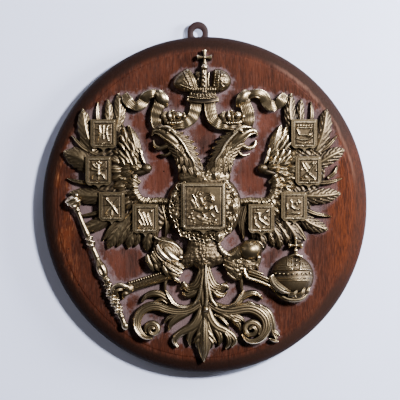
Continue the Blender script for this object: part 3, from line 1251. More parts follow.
# %% Shins and talons
def left_leg():
    """The ridged shin, its upper edge a twisted cord, and smooth ridged talons."""
    def ridges(along, across, half, share):
        crests = bell(across - 0.5, 0.16) + 0.9 * bell(across - 0.12, 0.12) + 0.8 * bell(across + 0.25, 0.2)
        return crests - 0.5 + 0.2 * rough(along, across * half, 2.4, 61)
    shells = [blade(
        [[-40, -83.5], [-66, -91.5], [-93, -100]], [5, 4.8, 5.6], [13, 13, 14], ridges, rise=0.4, rings=110,
        across=31, tone=-0.15)]
    shells.append(blade(
        [[-44, -79], [-66, -85.6], [-91, -93.4]], [1.7], [12.5, 13.5, 13], rungs(3, 1.3), rings=150, across=9,
        tone=-0.2))
    toes = [
        ([[-90, -99.5], [-96, -96.6], [-103, -95.4], [-108.5, -98.5], [-110, -104], [-107, -109]],
         [2.8, 2.6, 2.4, 2.2, 1.8, 0.6], [16, 17.6, 17.8, 17, 16, 12], 0.2),
        ([[-97, -101], [-102.5, -101], [-105.5, -104.4], [-102.4, -109]], [1.6, 1.9, 1.8, 0.6],
         [14.5, 16, 15.6, 12], 0.1),
        ([[-90, -103], [-95, -106], [-98, -113]], [3.4, 3.2, 0.6], [13, 14, 9], -0.15),
        ([[-85, -97], [-90, -100], [-95, -104]], [4.6, 5.2, 2], [14, 16, 13], -0.15),
    ]
    shells += [blade(*row, flutes(1, 0.6), rise=0.6, rings=60, tone=tone) for *row, tone in toes]
    shells.append(blade(
        [[-46, -88], [-47.2, -96], [-47.4, -106]], [2.4, 1.7, 1.2], [10.5, 10, 8], flutes(1, 0.4), rings=40,
        across=11, tone=-0.25))
    return shells


def right_leg():
    """The other shin: two sharp bright edges over a hollow, and talons curled under the orb."""
    shells = [blade(
        [[44, -83], [64, -88.5], [83, -95]], [5.4, 5.2, 5.2], [11.5, 12, 13], grainy(2.4, 0.3, 62), rise=0.2,
        rings=70, across=19, tone=-0.3)]
    edges = [
        ([[47, -76], [48.4, -82], [51, -86], [64, -90.4], [82, -98]], [1.7, 2, 1.5, 1.4, 1.2],
         [17, 18.5, 18, 17.6, 17], 0.15),
        ([[52, -79], [66, -84], [81, -90.5]], [1.3, 1.4, 1.1], [16, 17, 17], 0.1),
        ([[52, -82.4], [66, -87], [80, -93.4]], [0.8, 0.9, 0.8], [15, 15.6, 16], -0.1),
        ([[56, -77.5], [62, -79.5], [70, -82]], [1, 1.2, 0.6], [13.5, 13.5, 12.5], -0.1),
    ]
    shells += [blade(*row, rise=0.8, rings=70, across=11, tone=tone) for *row, tone in edges]
    toes = [
        ([[79, -84], [83, -93], [91, -100], [101, -104]], [3, 4.8, 4.6, 2.2], [18, 22, 24, 24], 3, 0.05),
        ([[80, -95], [89, -105], [102, -111.5], [116, -110], [125, -101]], [3.4, 4.4, 4.4, 3.8, 1],
         [13, 15, 16, 15.5, 12], 2, -0.2),
        ([[99, -106], [106, -105.6], [110, -101]], [2.8, 2.6, 0.8], [21, 22.5, 21.5], 1, -0.05),
        ([[108, -109], [115, -105.5], [119, -98]], [2.8, 2.6, 0.8], [18, 20, 18.5], 1, -0.05),
        ([[117, -107], [122, -103], [125, -97]], [2.2, 2.2, 0.6], [14, 15.5, 14], 1, -0.1),
    ]
    for path, half, crest, count, tone in toes:
        shells.append(blade(path, half, crest, flutes(count, 0.8), rise=0.5, rings=80, across=21, tone=tone))
    shells.append(blade(
        [[43.5, -88], [44, -96], [44.5, -106]], [2.4, 1.7, 1.2], [11, 10, 8], flutes(1, 0.4), rings=40,
        across=11, tone=-0.25))
    return shells


# %% [markdown]
# ## Orb and sceptre
#
# The globe is a dome whose bands and frames are bells of the distance to a line. The
# sceptre was turned on a lathe, so it is a profile swept round its axis, with slots and
# knots cut in as waves of the angle.

# %% Orb
ORB = (104.5, -85.5, 25.6)


def orb():
    """A globe with a belt and a strap of jewelled bands, panels framed in lines, and a cross."""
    cx, cy, radius = ORB

    def bands(u, v, share, angle):
        belt = bell(v - 8.6, 0.9) + bell(v + 1.6, 0.9) + 0.5 * bell(v + 4.2, 0.7)
        belt = belt - 0.4 * step(v, 0, 1) * (1 - step(v, 6.6, 7.6))
        above = step(v, 8.6, 9.6)
        strap = above * (bell(u + 1, 0.9) + bell(u - 9.5, 0.9) - 0.5 * (step(u, 0, 0.8) - step(u, 8, 8.8)))
        right, left = np.minimum(u - 9.5, v - 8.6), np.minimum(-1 - u, v - 8.6)
        frames = bell(right - 2.6, 0.6) + bell(right - 5.2, 0.6)
        frames = frames + 0.8 * bell(left - 2.6, 0.6) + 0.8 * bell(left - 5.2, 0.6)
        return (1.3 * belt + 1.3 * strap + 0.9 * above * frames) * (1 - step(share, 0.93, 1))

    def height(x, y):
        share = min(math.hypot(x - cx, y - cy) / radius, 1)
        return 6 + 17 * math.sqrt(1 - share**2)
    spots = [
        (84, -81.6), (88.6, -81.8), (93.4, -82), (98.4, -82), (104.4, -82), (110.4, -82), (116, -81.8),
        (121, -81.6), (125.4, -81.2), (108.8, -66), (108.8, -71.4),
    ]
    gems = [dome(x, y, 1.8, 1.5, height(x, y) - 1, height(x, y) + 1.5, sides=14, rings=6) for x, y in spots]
    globe = dome(cx, cy, radius, radius, 6, 22.5, bands, sides=240, rings=100)
    top = cross(108.4, -60, 8.4, 23, 13.5)
    foot = blade([[101, -62], [108, -59.5], [116, -62]], [1.8], [12, 15, 12], rings=26, across=9, tone=-0.15)
    jewels = [
        ball(x, y, r, 16)
        for x, y, r in (
            (101.6, -48, 2), (115.4, -48, 2), (108.5, -48.4, 1.8), (108.5, -40, 1.9), (108.5, -54, 2.3))
    ]
    return [*duller([globe], 0.24), *duller(gems, 0.1), *top, foot, *jewels]


# %% Sceptre
# Shares along the staff and the radii there
SCEPTRE = [
    (0, 2.5), (0.008, 6.5), (0.02, 8.6), (0.045, 9.4), (0.07, 8.2), (0.088, 5), (0.1, 3.6), (0.112, 4.4),
    (0.125, 3), (0.16, 2.7), (0.2, 3), (0.25, 3.6), (0.29, 3.8), (0.305, 3), (0.315, 4.6), (0.33, 4.4),
    (0.34, 3.2), (0.35, 5), (0.372, 4.6), (0.385, 3), (0.42, 3.2), (0.46, 3.8), (0.475, 3), (0.5, 4.2),
    (0.525, 6), (0.56, 6.6), (0.59, 5.6), (0.605, 3.4), (0.618, 4.6), (0.63, 4.8), (0.642, 3.4), (0.655, 4.8),
    (0.668, 3.6), (0.69, 5.4), (0.72, 6.4), (0.76, 6.2), (0.8, 5.4), (0.84, 5), (0.87, 4.4), (0.885, 3.2),
    (0.9, 4), (0.92, 3), (0.945, 3.2), (0.97, 4.4), (0.99, 3.6), (1, 1.2),
]


def sceptre():
    """A turned staff with a carved head, knots, a slotted vase and a knobbed lower stem."""
    def carve(along, around):
        between = lambda low, high: step(along, low, low + 2) * (1 - step(along, high - 2, high))
        head = between(0, 17) * (0.9 * np.cos(4 * around + along * 0.35) + 0.6 * np.cos(along * 1.3))
        knots = between(52, 68) * 0.9 * np.cos(3 * around + along * 0.9)
        stem = between(112, 153) * 1.5 * np.cos(3 * around + along * 0.45)
        stem = stem * np.cos(2 * math.pi * along / 6.5)
        slot = -2.6 * bell(around - 1.75, 0.42) * bell(along - 97, 7)
        return head + knots + stem + slot
    shells = [turned([-159.5, 11], [-93, -149], SCEPTRE, 7, carve, sides=48, rings=300)]
    shells += [
        ball(x, y, r, h)
        for x, y, r, h in (
            (-152.4, 11.6, 2.2, 14), (-155, 0, 1.4, 13), (-136.6, -40, 2, 13), (-115.6, -90, 2.3, 13),
            (-112.6, -94.4, 2, 13), (-134, -46.5, 1.5, 13))
    ]
    return shells


# %% [markdown]
# ## Tail
#
# A stem drops from the belly and splits into two scrolls with acanthus leaves, over a
# pointed spear. Each scroll is a branch that turns over and thins, and its own coil.
# Leaves with two ribs spring from it, some of them on one side only.

# %% Tail and scrolls
SCROLLS = {
    -1: dict(
        branch=[
            [2, -113], [9, -119], [20, -125], [32, -126.5], [46, -124], [55, -120.8], [65, -121],
            [74.5, -126], [79.5, -134], [80.6, -144], [77, -152], [70.5, -157.5], [62, -158.6],
        ],
        half=[4.5, 5.4, 5.8, 5.6, 5.2, 5.2, 5.4, 5.4, 5.3, 4.9, 4.2, 3.2, 1.6], eye=(62, -148.6), turn=8.4),
    1: dict(
        branch=[
            [2, -113], [9, -119], [20, -124.5], [33, -125.5], [46, -123.2], [55, -123], [65, -127],
            [72.5, -135], [74.5, -145], [71.5, -154], [65, -160.5], [57, -162.8], [49.5, -160.5],
            [44.8, -154],
        ],
        half=[4.5, 5.6, 6.4, 6.6, 6.6, 6.6, 6.8, 6.8, 6.4, 5.8, 4.8, 3.6, 2.6, 1.4], eye=(56, -148.8),
        turn=10.2),
}


def scroll(side):
    """The scroll of one side, drawn for +X: a branch that turns over and its coiled end."""
    plan = SCROLLS[side]
    x, y = plan["eye"]
    angle = np.radians(np.linspace(-35, 520, 24))
    reach = plan["turn"] * np.linspace(1, 0.12, 24) ** 0.8
    coil = np.stack([x + reach * np.cos(angle), y + reach * np.sin(angle)], axis=-1)
    ribs = flutes(4, 0.75)

    def soft(along, across, half, share):
        cut = ribs(along, across, half, share)
        return cut + 0.9 * bell(across - 0.62, 0.3) - 0.5 * bell(across + 0.2, 0.3)
    return [
        blade(plan["branch"], plan["half"], [12, 13, 13.4, 13.4, 13.2, 13, 13, 12.8, 12.2], soft, rise=0.35,
              rings=260, across=31),
        blade(coil, [1.6, 3, 3.6, 3.6, 3.4, 3, 2.6, 2.2, 1.6], [11.4, 12.4, 13, 13.4, 14, 15, 15.6],
              flutes(2, 0.5), rise=0.55, rings=190, across=19),
    ]


def scroll_leaves(side):
    """Acanthus leaves with two ribs off the scroll of one side, drawn for +X."""
    leaves = [
        ([[12, -118], [21, -121.5], [30, -121], [37, -117], [42, -110], [46.5, -101.5]],
         [1, 1.7, 2.1, 2.3, 2.4, 0.9], [13.6, 14.6, 15.2, 15.8, 16, 14]),
        ([[24, -122], [34, -121], [43, -114], [48, -108]], [2.2, 3.4, 3.6, 1.2], [12, 12.6, 12.4, 10.5]),
        ([[14, -125], [24, -130], [33, -135], [40, -142], [43, -150]], [3.4, 4.6, 4.8, 4, 1],
         [11.5, 12.4, 12, 11, 9]),
        ([[28, -128], [36, -131.5], [44, -135.5], [48, -141]], [2.4, 3, 2.6, 0.8], [11, 11.6, 11, 9]),
        ([[3, -122], [7, -136], [14, -145], [24, -150], [32, -155.5], [36, -162], [32, -169.5]],
         [4.4, 5.6, 5.8, 5.4, 4.4, 3.8, 1.2], [12, 13, 13, 12.6, 12, 11, 9.5]),
        ([[10, -145], [16, -152], [18.5, -159], [17.5, -168]], [4.4, 4.2, 3.4, 0.8], [11.5, 11.5, 10.5, 8.5]),
        ([[2, -136], [5, -149], [9, -158], [14, -165]], [3, 3.6, 3.2, 0.8], [12, 12, 11, 8.5]),
    ]
    if side < 0:
        leaves += [
            ([[34, -122], [44, -112], [53, -106.5], [62, -105.6], [70, -109], [75, -116]],
             [3, 4.4, 4.2, 3.9, 3.2, 1.4], [12, 12.4, 12.6, 12.5, 11.4, 9.6]),
            ([[44, -117], [51, -112.5], [58, -115], [63, -117]], [2.4, 2.4, 2, 0.8], [11, 11.5, 11.4, 11]),
        ]
    else:
        leaves += [
            ([[36, -122], [43, -112], [51, -106.5], [60, -105], [67, -108.5]], [3, 4.2, 4, 3.2, 1.4],
             [12, 12.4, 12.6, 12.5, 10.6]),
            ([[46, -119], [53, -116.5], [60, -119.5]], [1.2, 1.7, 1], [12, 13.5, 12.6]),
            ([[60, -107], [64, -107.5], [69, -112]], [1.2, 1.6, 0.8], [12.5, 12.5, 10.5]),
            ([[66, -121], [76, -128], [80.5, -140], [81.5, -151], [86, -160]], [3.4, 3.6, 3.4, 3.8, 1.6],
             [12, 12.6, 12, 11, 9.5]),
            ([[80, -148], [85, -152], [89, -156]], [2.4, 2.6, 1.2], [10.6, 10.6, 9]),
            ([[78, -160], [83, -162], [88, -163]], [1.4, 2, 1], [9.6, 10, 9]),
            ([[12, -131], [20, -135], [27, -143], [27, -149]], [1.6, 2, 2, 1], [11.6, 12, 12, 10.5]),
            ([[30, -133], [37, -137.5], [43, -138]], [1.6, 3, 1.6], [12.6, 14, 12]),
            ([[24, -151], [28, -157], [29, -165], [25, -172]], [3, 3.4, 3, 0.9], [12, 12, 11, 9]),
        ]
    return [blade(*row, flutes(2, 0.7), rise=0.45, rings=70, across=19) for row in leaves]


def tail_curl(side):
    """The curl beside the stem: ridges side by side that drop from the belly and hook outward."""
    shells = [blade(
        [[2, -72], [4, -86], [10, -97], [19, -99.5], [27, -92]], [4, 6, 6.6, 5.6, 1],
        [14.5, 15, 14.6, 13.4, 11], flutes(4, 1.2), rise=0.35, rings=100, across=33)]
    shells.append(blade(
        [[9, -98], [14, -105], [21, -107.5], [27, -104]], [3.4, 4.4, 3.4, 0.8], [12.5, 13, 12, 10],
        flutes(2, 0.8), rise=0.4, rings=50, across=19))
    shells.append(blade(
        [[20, -96], [25, -97], [29, -101]], [2.4, 2.8, 0.8], [13, 12.5, 10.5], flutes(1, 0.5), rings=30,
        across=13))
    return shells


def stem():
    """The tail's stem with its side ridges, the knot where it forks, and the spear below."""
    shells = [
        blade([[0, -62], [-1, -90], [-1, -112], [0, -131]], [7, 6.4, 8.5, 1.2], [15, 15.5, 14.5, 12],
              flutes(3, 0.9), rise=0.35, rings=110, across=35),
        blade([[1.4, -70], [1, -90], [2.4, -110], [1.5, -122]], [1.2, 2, 2.2, 2.6], [18, 18.6, 18, 16.5],
              rings=70, across=13),
        dome(1.5, -124.5, 4.4, 4.8, 11, 18.6, sides=36),
        blade([[0.5, -124], [0, -130], [-0.5, -138]], [4.4, 3.6, 0.8], [16, 15.4, 13.5], flutes(1, 0.6),
              rings=30),
        blade([[0, -124], [-0.5, -138], [-1, -152], [-1, -166], [-1, -176], [-1, -187.5]],
              [4, 4.6, 7.4, 8.8, 6.4, 0.8], [12, 12.6, 13.2, 13, 12, 9.5], flutes(3, 1), rise=0.35, rings=110,
              across=33),
        blade([[-0.5, -134], [-1, -160], [-1, -184]], [0.9, 1.3, 0.4], [14.4, 15.2, 11.5], rings=60,
              across=9),
    ]
    for side in (-1, 1):
        shells.append(blade(
            [[side * 2, -80], [side * 4.4, -98], [side * 7.5, -112], [side * 14, -121]], [1.2, 2.2, 2.6, 1.8],
            [16.5, 17, 16.5, 14], rings=60, across=11))
        shells.append(blade(
            [[side * 4, -150], [side * 9, -158], [side * 12.5, -161]], [2.6, 3, 0.8], [11.5, 12, 10],
            rings=30, across=13))
        shells.append(blade(
            [[side * 5, -158], [side * 9, -165], [side * 8.5, -171]], [2.4, 2.4, 0.6], [11, 11, 9], rings=26,
            across=11))
    return shells


# %% [markdown]
# ## The pieces of the eagle
#
# Everything on the eagle is one casting, so these pieces share the node and the brass.

# %% Eagle pieces
def both(make):
    """The drawing of the +X side, and the mirrored drawing of the other."""
    return make(1) + mirrored(make(-1))


groups = {
    "wing_right": make_wing(),
    "wing_left": mirrored(make_wing(left=True)),
    "breast_shields": make_shields(),
    "crowned_heads": head() + mirrored(duller(head(), 0.26)) + duller(great_crown(), 0.06)
    + small_crown(33, 106) + small_crown(-37, 106) + both(ribbon),
    "body": breast() + rosettes() + belly(),
    "legs_and_regalia": left_thigh() + right_thigh() + left_leg() + right_leg()
    + duller(orb(), 0.03) + duller(sceptre(), -0.08),
    "tail_scrolls": both(scroll) + both(scroll_leaves) + both(tail_curl) + stem(),
}
for name, shells in groups.items():
    print(name, count_triangles(shells))

# %% [markdown]
# ## Height over the surroundings
#
# A grid of the casting's top surface is blurred, and every point learns how far it
# stands above or below its blurred surroundings. Hollows between the forms go dark and
# crests go bright. The same grid tells the oak how near it is to the brass.

# %% Height grid
GRID_CELL = 0.5
GRID_REACH = 205
GRID_COUNT = int(2 * GRID_REACH / GRID_CELL)


def cell_of(points):
    """The grid cell of each point: its distance from the grid's corner over the cell's size."""
    index = ((points[:, :2] + GRID_REACH) / GRID_CELL).astype(int)
    return np.clip(index, 0, GRID_COUNT - 1)


def blur(grid, radius, times=3):
    """The grid averaged over squares a few times, which is close to a round soft blur."""
    size = max(int(radius / GRID_CELL), 1)
    for _ in range(times):
        for axis in (0, 1):
            pads = [(0, 0), (0, 0)]
            pads[axis] = (size + 1, size)
            total = np.cumsum(np.pad(grid, pads, mode="edge"), axis=axis)
            upper = np.take(total, np.arange(2 * size + 1, total.shape[axis]), axis=axis)
            lower = np.take(total, np.arange(0, total.shape[axis] - 2 * size - 1), axis=axis)
            grid = (upper - lower) / (2 * size + 1)
    return grid


every_point = np.concatenate([shell[0] for shells in groups.values() for shell in shells])
top_grid = np.zeros((GRID_COUNT, GRID_COUNT))
cells = cell_of(every_point)
np.maximum.at(top_grid, (cells[:, 0], cells[:, 1]), every_point[:, 2])
for _ in range(2):
    shifts = [np.roll(top_grid, move, axis) for move in (-1, 1) for axis in (0, 1)]
    top_grid = np.where(top_grid > 0.5, top_grid, np.maximum.reduce(shifts) * 0.98)
near_levels = blur(top_grid, 1.5)
wide_levels = blur(top_grid, 4)
brass_near = np.clip(blur((top_grid > 1).astype(float), 6) * 1.5, 0, 1)


def worn(shell):
    """The shell with its relief joined with its height over the surroundings."""
    points, quads, triangles, relief = shell
    index = cell_of(points)
    over_near = points[:, 2] - near_levels[index[:, 0], index[:, 1]]
    over_wide = points[:, 2] - wide_levels[index[:, 0], index[:, 1]]
    return points, quads, triangles, 0.55 * relief + 0.2 + 0.1 * over_near + 0.035 * over_wide


groups = {name: [worn(shell) for shell in shells] for name, shells in groups.items()}
print("grid", top_grid.shape, "covered", float((top_grid > 1).mean()))

# %% [markdown]
# ## Plaque and hanger
#
# The plaque is turned: a flat face, a fine crease and a quarter-round rim, so a profile
# swept round and squeezed to an oval gives it. At the back a slot runs in from the top
# edge, and the hanger plate lies flush in it.

# %% Plaque
SLOT_HALF, SLOT_LOW, SLOT_DEEP = 12.9, -46.2, 2.4
EYE_Y = -CENTRE[2] / MM
EYE_X = -CENTRE[0] / MM
SQUEEZE = PLAQUE_WIDTH / PLAQUE_HEIGHT
RADIUS = PLAQUE_HEIGHT / 2
RIM_WIDTH, RIM_DROP, CREASE_DROP = 19, 14.2, 0.8


def plaque_body(sides=260):
    """The turned front: radius and height profile, swept round and squeezed to the oval."""
    face = np.linspace(0.5, RADIUS - RIM_WIDTH - 1.2, 60)
    bend = np.linspace(0, math.pi / 2, 22)
    rim_x = RADIUS - RIM_WIDTH + RIM_WIDTH * np.sin(bend)
    rim_h = -CREASE_DROP - RIM_DROP * (1 - np.cos(bend))
    crease_x = [RADIUS - RIM_WIDTH - 0.6, RADIUS - RIM_WIDTH - 0.1]
    radii = np.concatenate([face, crease_x, rim_x, [RADIUS] * 3])
    heights = np.concatenate([
        0 * face, [-0.15, -0.75], rim_h, [-17, -19, SLOT_DEEP - PLAQUE_THICKNESS - 0.05],
    ])
    angle = np.linspace(0, 2 * math.pi, sides, endpoint=False)
    x = radii[::-1, None] * np.cos(angle) * SQUEEZE
    y = radii[::-1, None] * np.sin(angle)
    h = heights[::-1, None] + 0 * x
    rings = np.stack([x, y, h], axis=-1)
    return tube(rings, 0 * x)


def plaque_back(steps=260):
    """The last layer at the back, a horseshoe round the hanger's slot with rounded edges."""
    back = -PLAQUE_THICKNESS
    reach = math.asin(SLOT_HALF / RADIUS / SQUEEZE)
    middle = math.asin(EYE_X / RADIUS / SQUEEZE)
    angle = np.linspace(math.pi / 2 - middle - reach, math.pi / 2 - middle + reach - 2 * math.pi, steps)
    outer = np.stack([np.cos(angle) * RADIUS * SQUEEZE, np.sin(angle) * RADIUS], axis=-1)
    low = EYE_Y + SLOT_LOW
    slot_points = np.array([
        [EYE_X + SLOT_HALF, outer[0, 1]], [EYE_X + SLOT_HALF, low], [EYE_X - SLOT_HALF, low],
        [EYE_X - SLOT_HALF, outer[-1, 1]],
    ])
    run = np.concatenate([[0], np.cumsum(np.linalg.norm(np.diff(slot_points, axis=0), axis=1))])
    at = np.linspace(0, run[-1], steps)
    inner = np.stack([np.interp(at, run, slot_points[:, axis]) for axis in (0, 1)], axis=-1)
    section = [
        (0, SLOT_DEEP), (0, 0.3), (0.002, 0), (0.5, 0), (0.985, 0), (0.995, 0.6), (1, 2), (1, SLOT_DEEP),
    ]
    rings = np.stack([
        np.concatenate([inner + (outer - inner) * share, np.full((steps, 1), back + up)], axis=1)
        for share, up in section
    ], axis=1)
    return tube(rings, np.zeros(rings.shape[:2]))


def plaque_shells():
    """The turned board and the last layer at its back."""
    return [plaque_body(), plaque_back()]


# %% Hanger plate
def hanger(steps=120):
    """A round-topped strip with a hole, its edges slightly rounded.

    Seen from the hole, the round top's centre is a little higher, so the top's reach
    along a direction is rise * sin + sqrt(half ** 2 - (rise * cos) ** 2).
    """
    half, hole, rise, foot = 12.5, 5.5, 1.7, 45.8
    angle = np.linspace(0, 2 * math.pi, steps, endpoint=False)
    c, s = np.cos(angle), np.sin(angle)
    box = np.minimum(half / np.maximum(np.abs(c), 1e-6), foot / np.maximum(np.abs(s), 1e-6))
    top = rise * s + np.sqrt(half**2 - (rise * c) ** 2)
    reach = np.where(s * box >= rise, top, box)
    front, back = -PLAQUE_THICKNESS + 2.2, -PLAQUE_THICKNESS + 0.2
    section = [
        (0, back + 0.3), (0.3, back), (-0.4, back), (-0.05, back + 0.3), (-0.05, front - 0.4), (-0.5, front),
        (0.5, front), (0, front - 0.4),
    ]
    rings = []
    for i, (inset, level) in enumerate(section):
        radius = hole + max(inset, 0) if i in (0, 1, 6, 7) else reach + inset
        rings.append(np.stack([EYE_X + radius * c, EYE_Y + radius * s, level + 0 * c], axis=-1))
    rings = np.stack(rings[::-1], axis=1)
    return ring_tube(rings, np.zeros(rings.shape[:2]))


for name, shells in (("plaque", plaque_shells()), ("hanger", [hanger()])):
    print(name, count_triangles(shells))


# %% [markdown]
# ## Checks on the shells
#
# Every shell is closed, so its signed volume says whether its faces look outwards.

# %% Volumes
def volume(shell):
    """The volume in a shell: a sixth of the sum of a . (b x c) over its triangles."""
    points, quads, triangles, _ = shell
    corners = np.concatenate([quads[:, [0, 1, 2]], quads[:, [0, 2, 3]], triangles])
    a, b, c = (points[corners[:, i]] for i in range(3))
    return float(np.einsum("ij,ij->i", a, np.cross(b, c)).sum() / 6)


groups["plaque"] = plaque_shells()
groups["hanger"] = [hanger()]
for name, shells in groups.items():
    volumes = [volume(shell) for shell in shells]
    print(name, "shells", len(shells), "inside out", [i for i, v in enumerate(volumes) if v <= 0])

# %% [markdown]
# ## Materials
#
# `Shade` builds a node tree and `Value` wraps a socket, so that shader maths reads like
# plain arithmetic. All patterns are procedural and read Object coordinates, in mm. Brass
# takes its colour from the relief of each point, which stands for years of rubbing, and
# oak from noise drawn out along the grain.

# %% Shader helpers
class Value:
    """A number, colour or vector that comes out of a shader node."""

    def __init__(self, shade, socket):
        self.shade, self.socket = shade, socket

    def math(self, operation, *others):
        return self.shade.math(operation, self, *others)

    def __add__(self, other):
        return self.math("ADD", other)

    def __sub__(self, other):
        return self.math("SUBTRACT", other)

    def __rsub__(self, other):
        return self.shade.math("SUBTRACT", other, self)

    def __mul__(self, other):
        return self.math("MULTIPLY", other)

    def __truediv__(self, other):
        return self.math("DIVIDE", other)

    def __pow__(self, other):
        return self.math("POWER", other)

    def __abs__(self):
        return self.math("ABSOLUTE")

    __radd__, __rmul__ = __add__, __mul__


class Shade:
    """A material whose nodes are made by name; values may be numbers, tuples or Values."""

    def __init__(self, name):
        self.material = bpy.data.materials.new(name)
        self.material.use_nodes = True
        self.tree = self.material.node_tree
        self.tree.nodes.clear()
        place = self.node("TexCoord", output="Object")
        self.place = self.vector("SCALE", place, scale=1000)
        self.x, self.y, self.z = (self.node("SeparateXYZ", {0: self.place}, output=axis) for axis in "XYZ")

    def node(self, kind, inputs=None, output=0, **settings):
        """One output of a new node, its settings made first and then its inputs."""
        made = self.tree.nodes.new("ShaderNode" + kind)
        for key, value in settings.items():
            setattr(made, key, value)
        for key, value in (inputs or {}).items():
            if isinstance(value, Value):
                self.tree.links.new(value.socket, made.inputs[key])
            else:
                made.inputs[key].default_value = value
        return Value(self, made.outputs[output])

    def math(self, operation, *values):
        return self.node("Math", dict(enumerate(values)), operation=operation)

    def vector(self, operation, *values, scale=None):
        inputs = dict(enumerate(values))
        if scale is not None:
            inputs["Scale"] = scale
        return self.node("VectorMath", inputs, operation=operation)

    def stretched(self, x, y, z):
        """The place in mm, scaled along each axis; a small scale draws a pattern out."""
        return self.vector("MULTIPLY", self.place, (x, y, z))

    def noise(self, size, detail=3, roughness=0.55, place=None):
        """Noise from 0 to 1 whose features are about a size in mm."""
        inputs = {"Vector": place or self.place, "Scale": 1 / size, "Detail": detail, "Roughness": roughness}
        return self.node("TexNoise", inputs)

    def ramp(self, value, low, high):
        """0 below low and 1 above high, smooth between."""
        inputs = {"Value": value, "From Min": low, "From Max": high}
        return self.node("MapRange", inputs, interpolation_type="SMOOTHSTEP")

    def mix(self, factor, first, second):
        """The first colour where the factor is 0 and the second where it is 1."""
        wide = lambda colour: colour if isinstance(colour, Value) else (*colour, 1)
        inputs = {0: factor, 6: wide(first), 7: wide(second)}
        return self.node("Mix", inputs, output=2, data_type="RGBA")

    def attribute(self, name):
        """A number that the mesh holds at each point."""
        return self.node("Attribute", output="Fac", attribute_name=name)

    def bump(self, height, distance, strength):
        """A normal bent by a height, whose full step is the distance in mm."""
        return self.node("Bump", {"Height": height, "Distance": distance * MM, "Strength": strength})

    def finish(self, **inputs):
        """The material, with these sockets of its surface set."""
        surface = self.node("BsdfPrincipled", {key.replace("_", " "): value for key, value in inputs.items()})
        out = self.tree.nodes.new("ShaderNodeOutputMaterial")
        self.tree.links.new(surface.socket, out.inputs["Surface"])
        return self.material


# %% Brass
def brass(name="brass"):
    """Cast brass under an old brown patina, rubbed bright on its crests."""
    shade = Shade(name)
    relief = shade.attribute("relief")
    fine = shade.noise(1.3, 4, 0.6)
    patch_noise = shade.noise(9, 3, 0.6)
    wide = shade.noise(45, 2, 0.5)
    lift = relief + (fine - 0.5) * 0.22 + (patch_noise - 0.5) * 0.3 + (wide - 0.5) * 0.25
    body = shade.mix(shade.ramp(lift, 0.05, 0.4), (0.01, 0.007, 0.005), (0.078, 0.056, 0.0325))
    worn_tone = shade.mix(patch_noise, (0.152, 0.112, 0.064), (0.228, 0.177, 0.106))
    body = shade.mix(shade.ramp(lift, 0.34, 0.72), body, worn_tone)
    colour = shade.mix(shade.ramp(lift, 0.72, 1.05), body, (0.72, 0.58, 0.39))
    dull = shade.ramp(shade.noise(3, 3), 0.55, 0.8)
    colour = shade.mix(dull * 0.3, colour, (0.038, 0.026, 0.018))
    roughness = 0.39 - 0.13 * shade.ramp(lift, 0.3, 0.95) + (fine - 0.5) * 0.15
    metallic = 0.84 + 0.14 * shade.ramp(lift, 0.25, 0.7)
    bump = shade.bump(fine * 0.5 + shade.noise(3.5, 2) * 0.5, 0.16, 0.8)
    return shade.finish(Base_Color=colour, Roughness=roughness, Metallic=metallic, Normal=bump)


# %% Oak
# Old stained oak in linear light, from its grain to what time left on it
OAK_TONES = {
    "deep": (0.014, 0.0047, 0.0034), "stained": (0.05, 0.0142, 0.0075), "blot": (0.064, 0.017, 0.0078),
    "pale": (0.098, 0.042, 0.03), "amber": (0.094, 0.0195, 0.004), "dark": (0.02, 0.0062, 0.0034),
    "sunlit": (0.24, 0.1, 0.042), "pore": (0.011, 0.005, 0.0044), "haze": (0.118, 0.088, 0.09),
    "red": (0.098, 0.0215, 0.0105), "bloom": (0.128, 0.098, 0.108), "crack": (0.008, 0.004, 0.003),
    "hole": (0.006, 0.004, 0.003), "rim_left": (0.0052, 0.0029, 0.0024),
    "rim_right": (0.0145, 0.0078, 0.0062), "rim_fibre": (0.022, 0.0098, 0.0068),
    "rubbed": (0.125, 0.06, 0.044),
}
WORM_HOLES = ((-163, -53), (-49, 40), (-2, 68), (-151, -96))
CRACK_X, CRACK_TOP = 28.6, -146.5


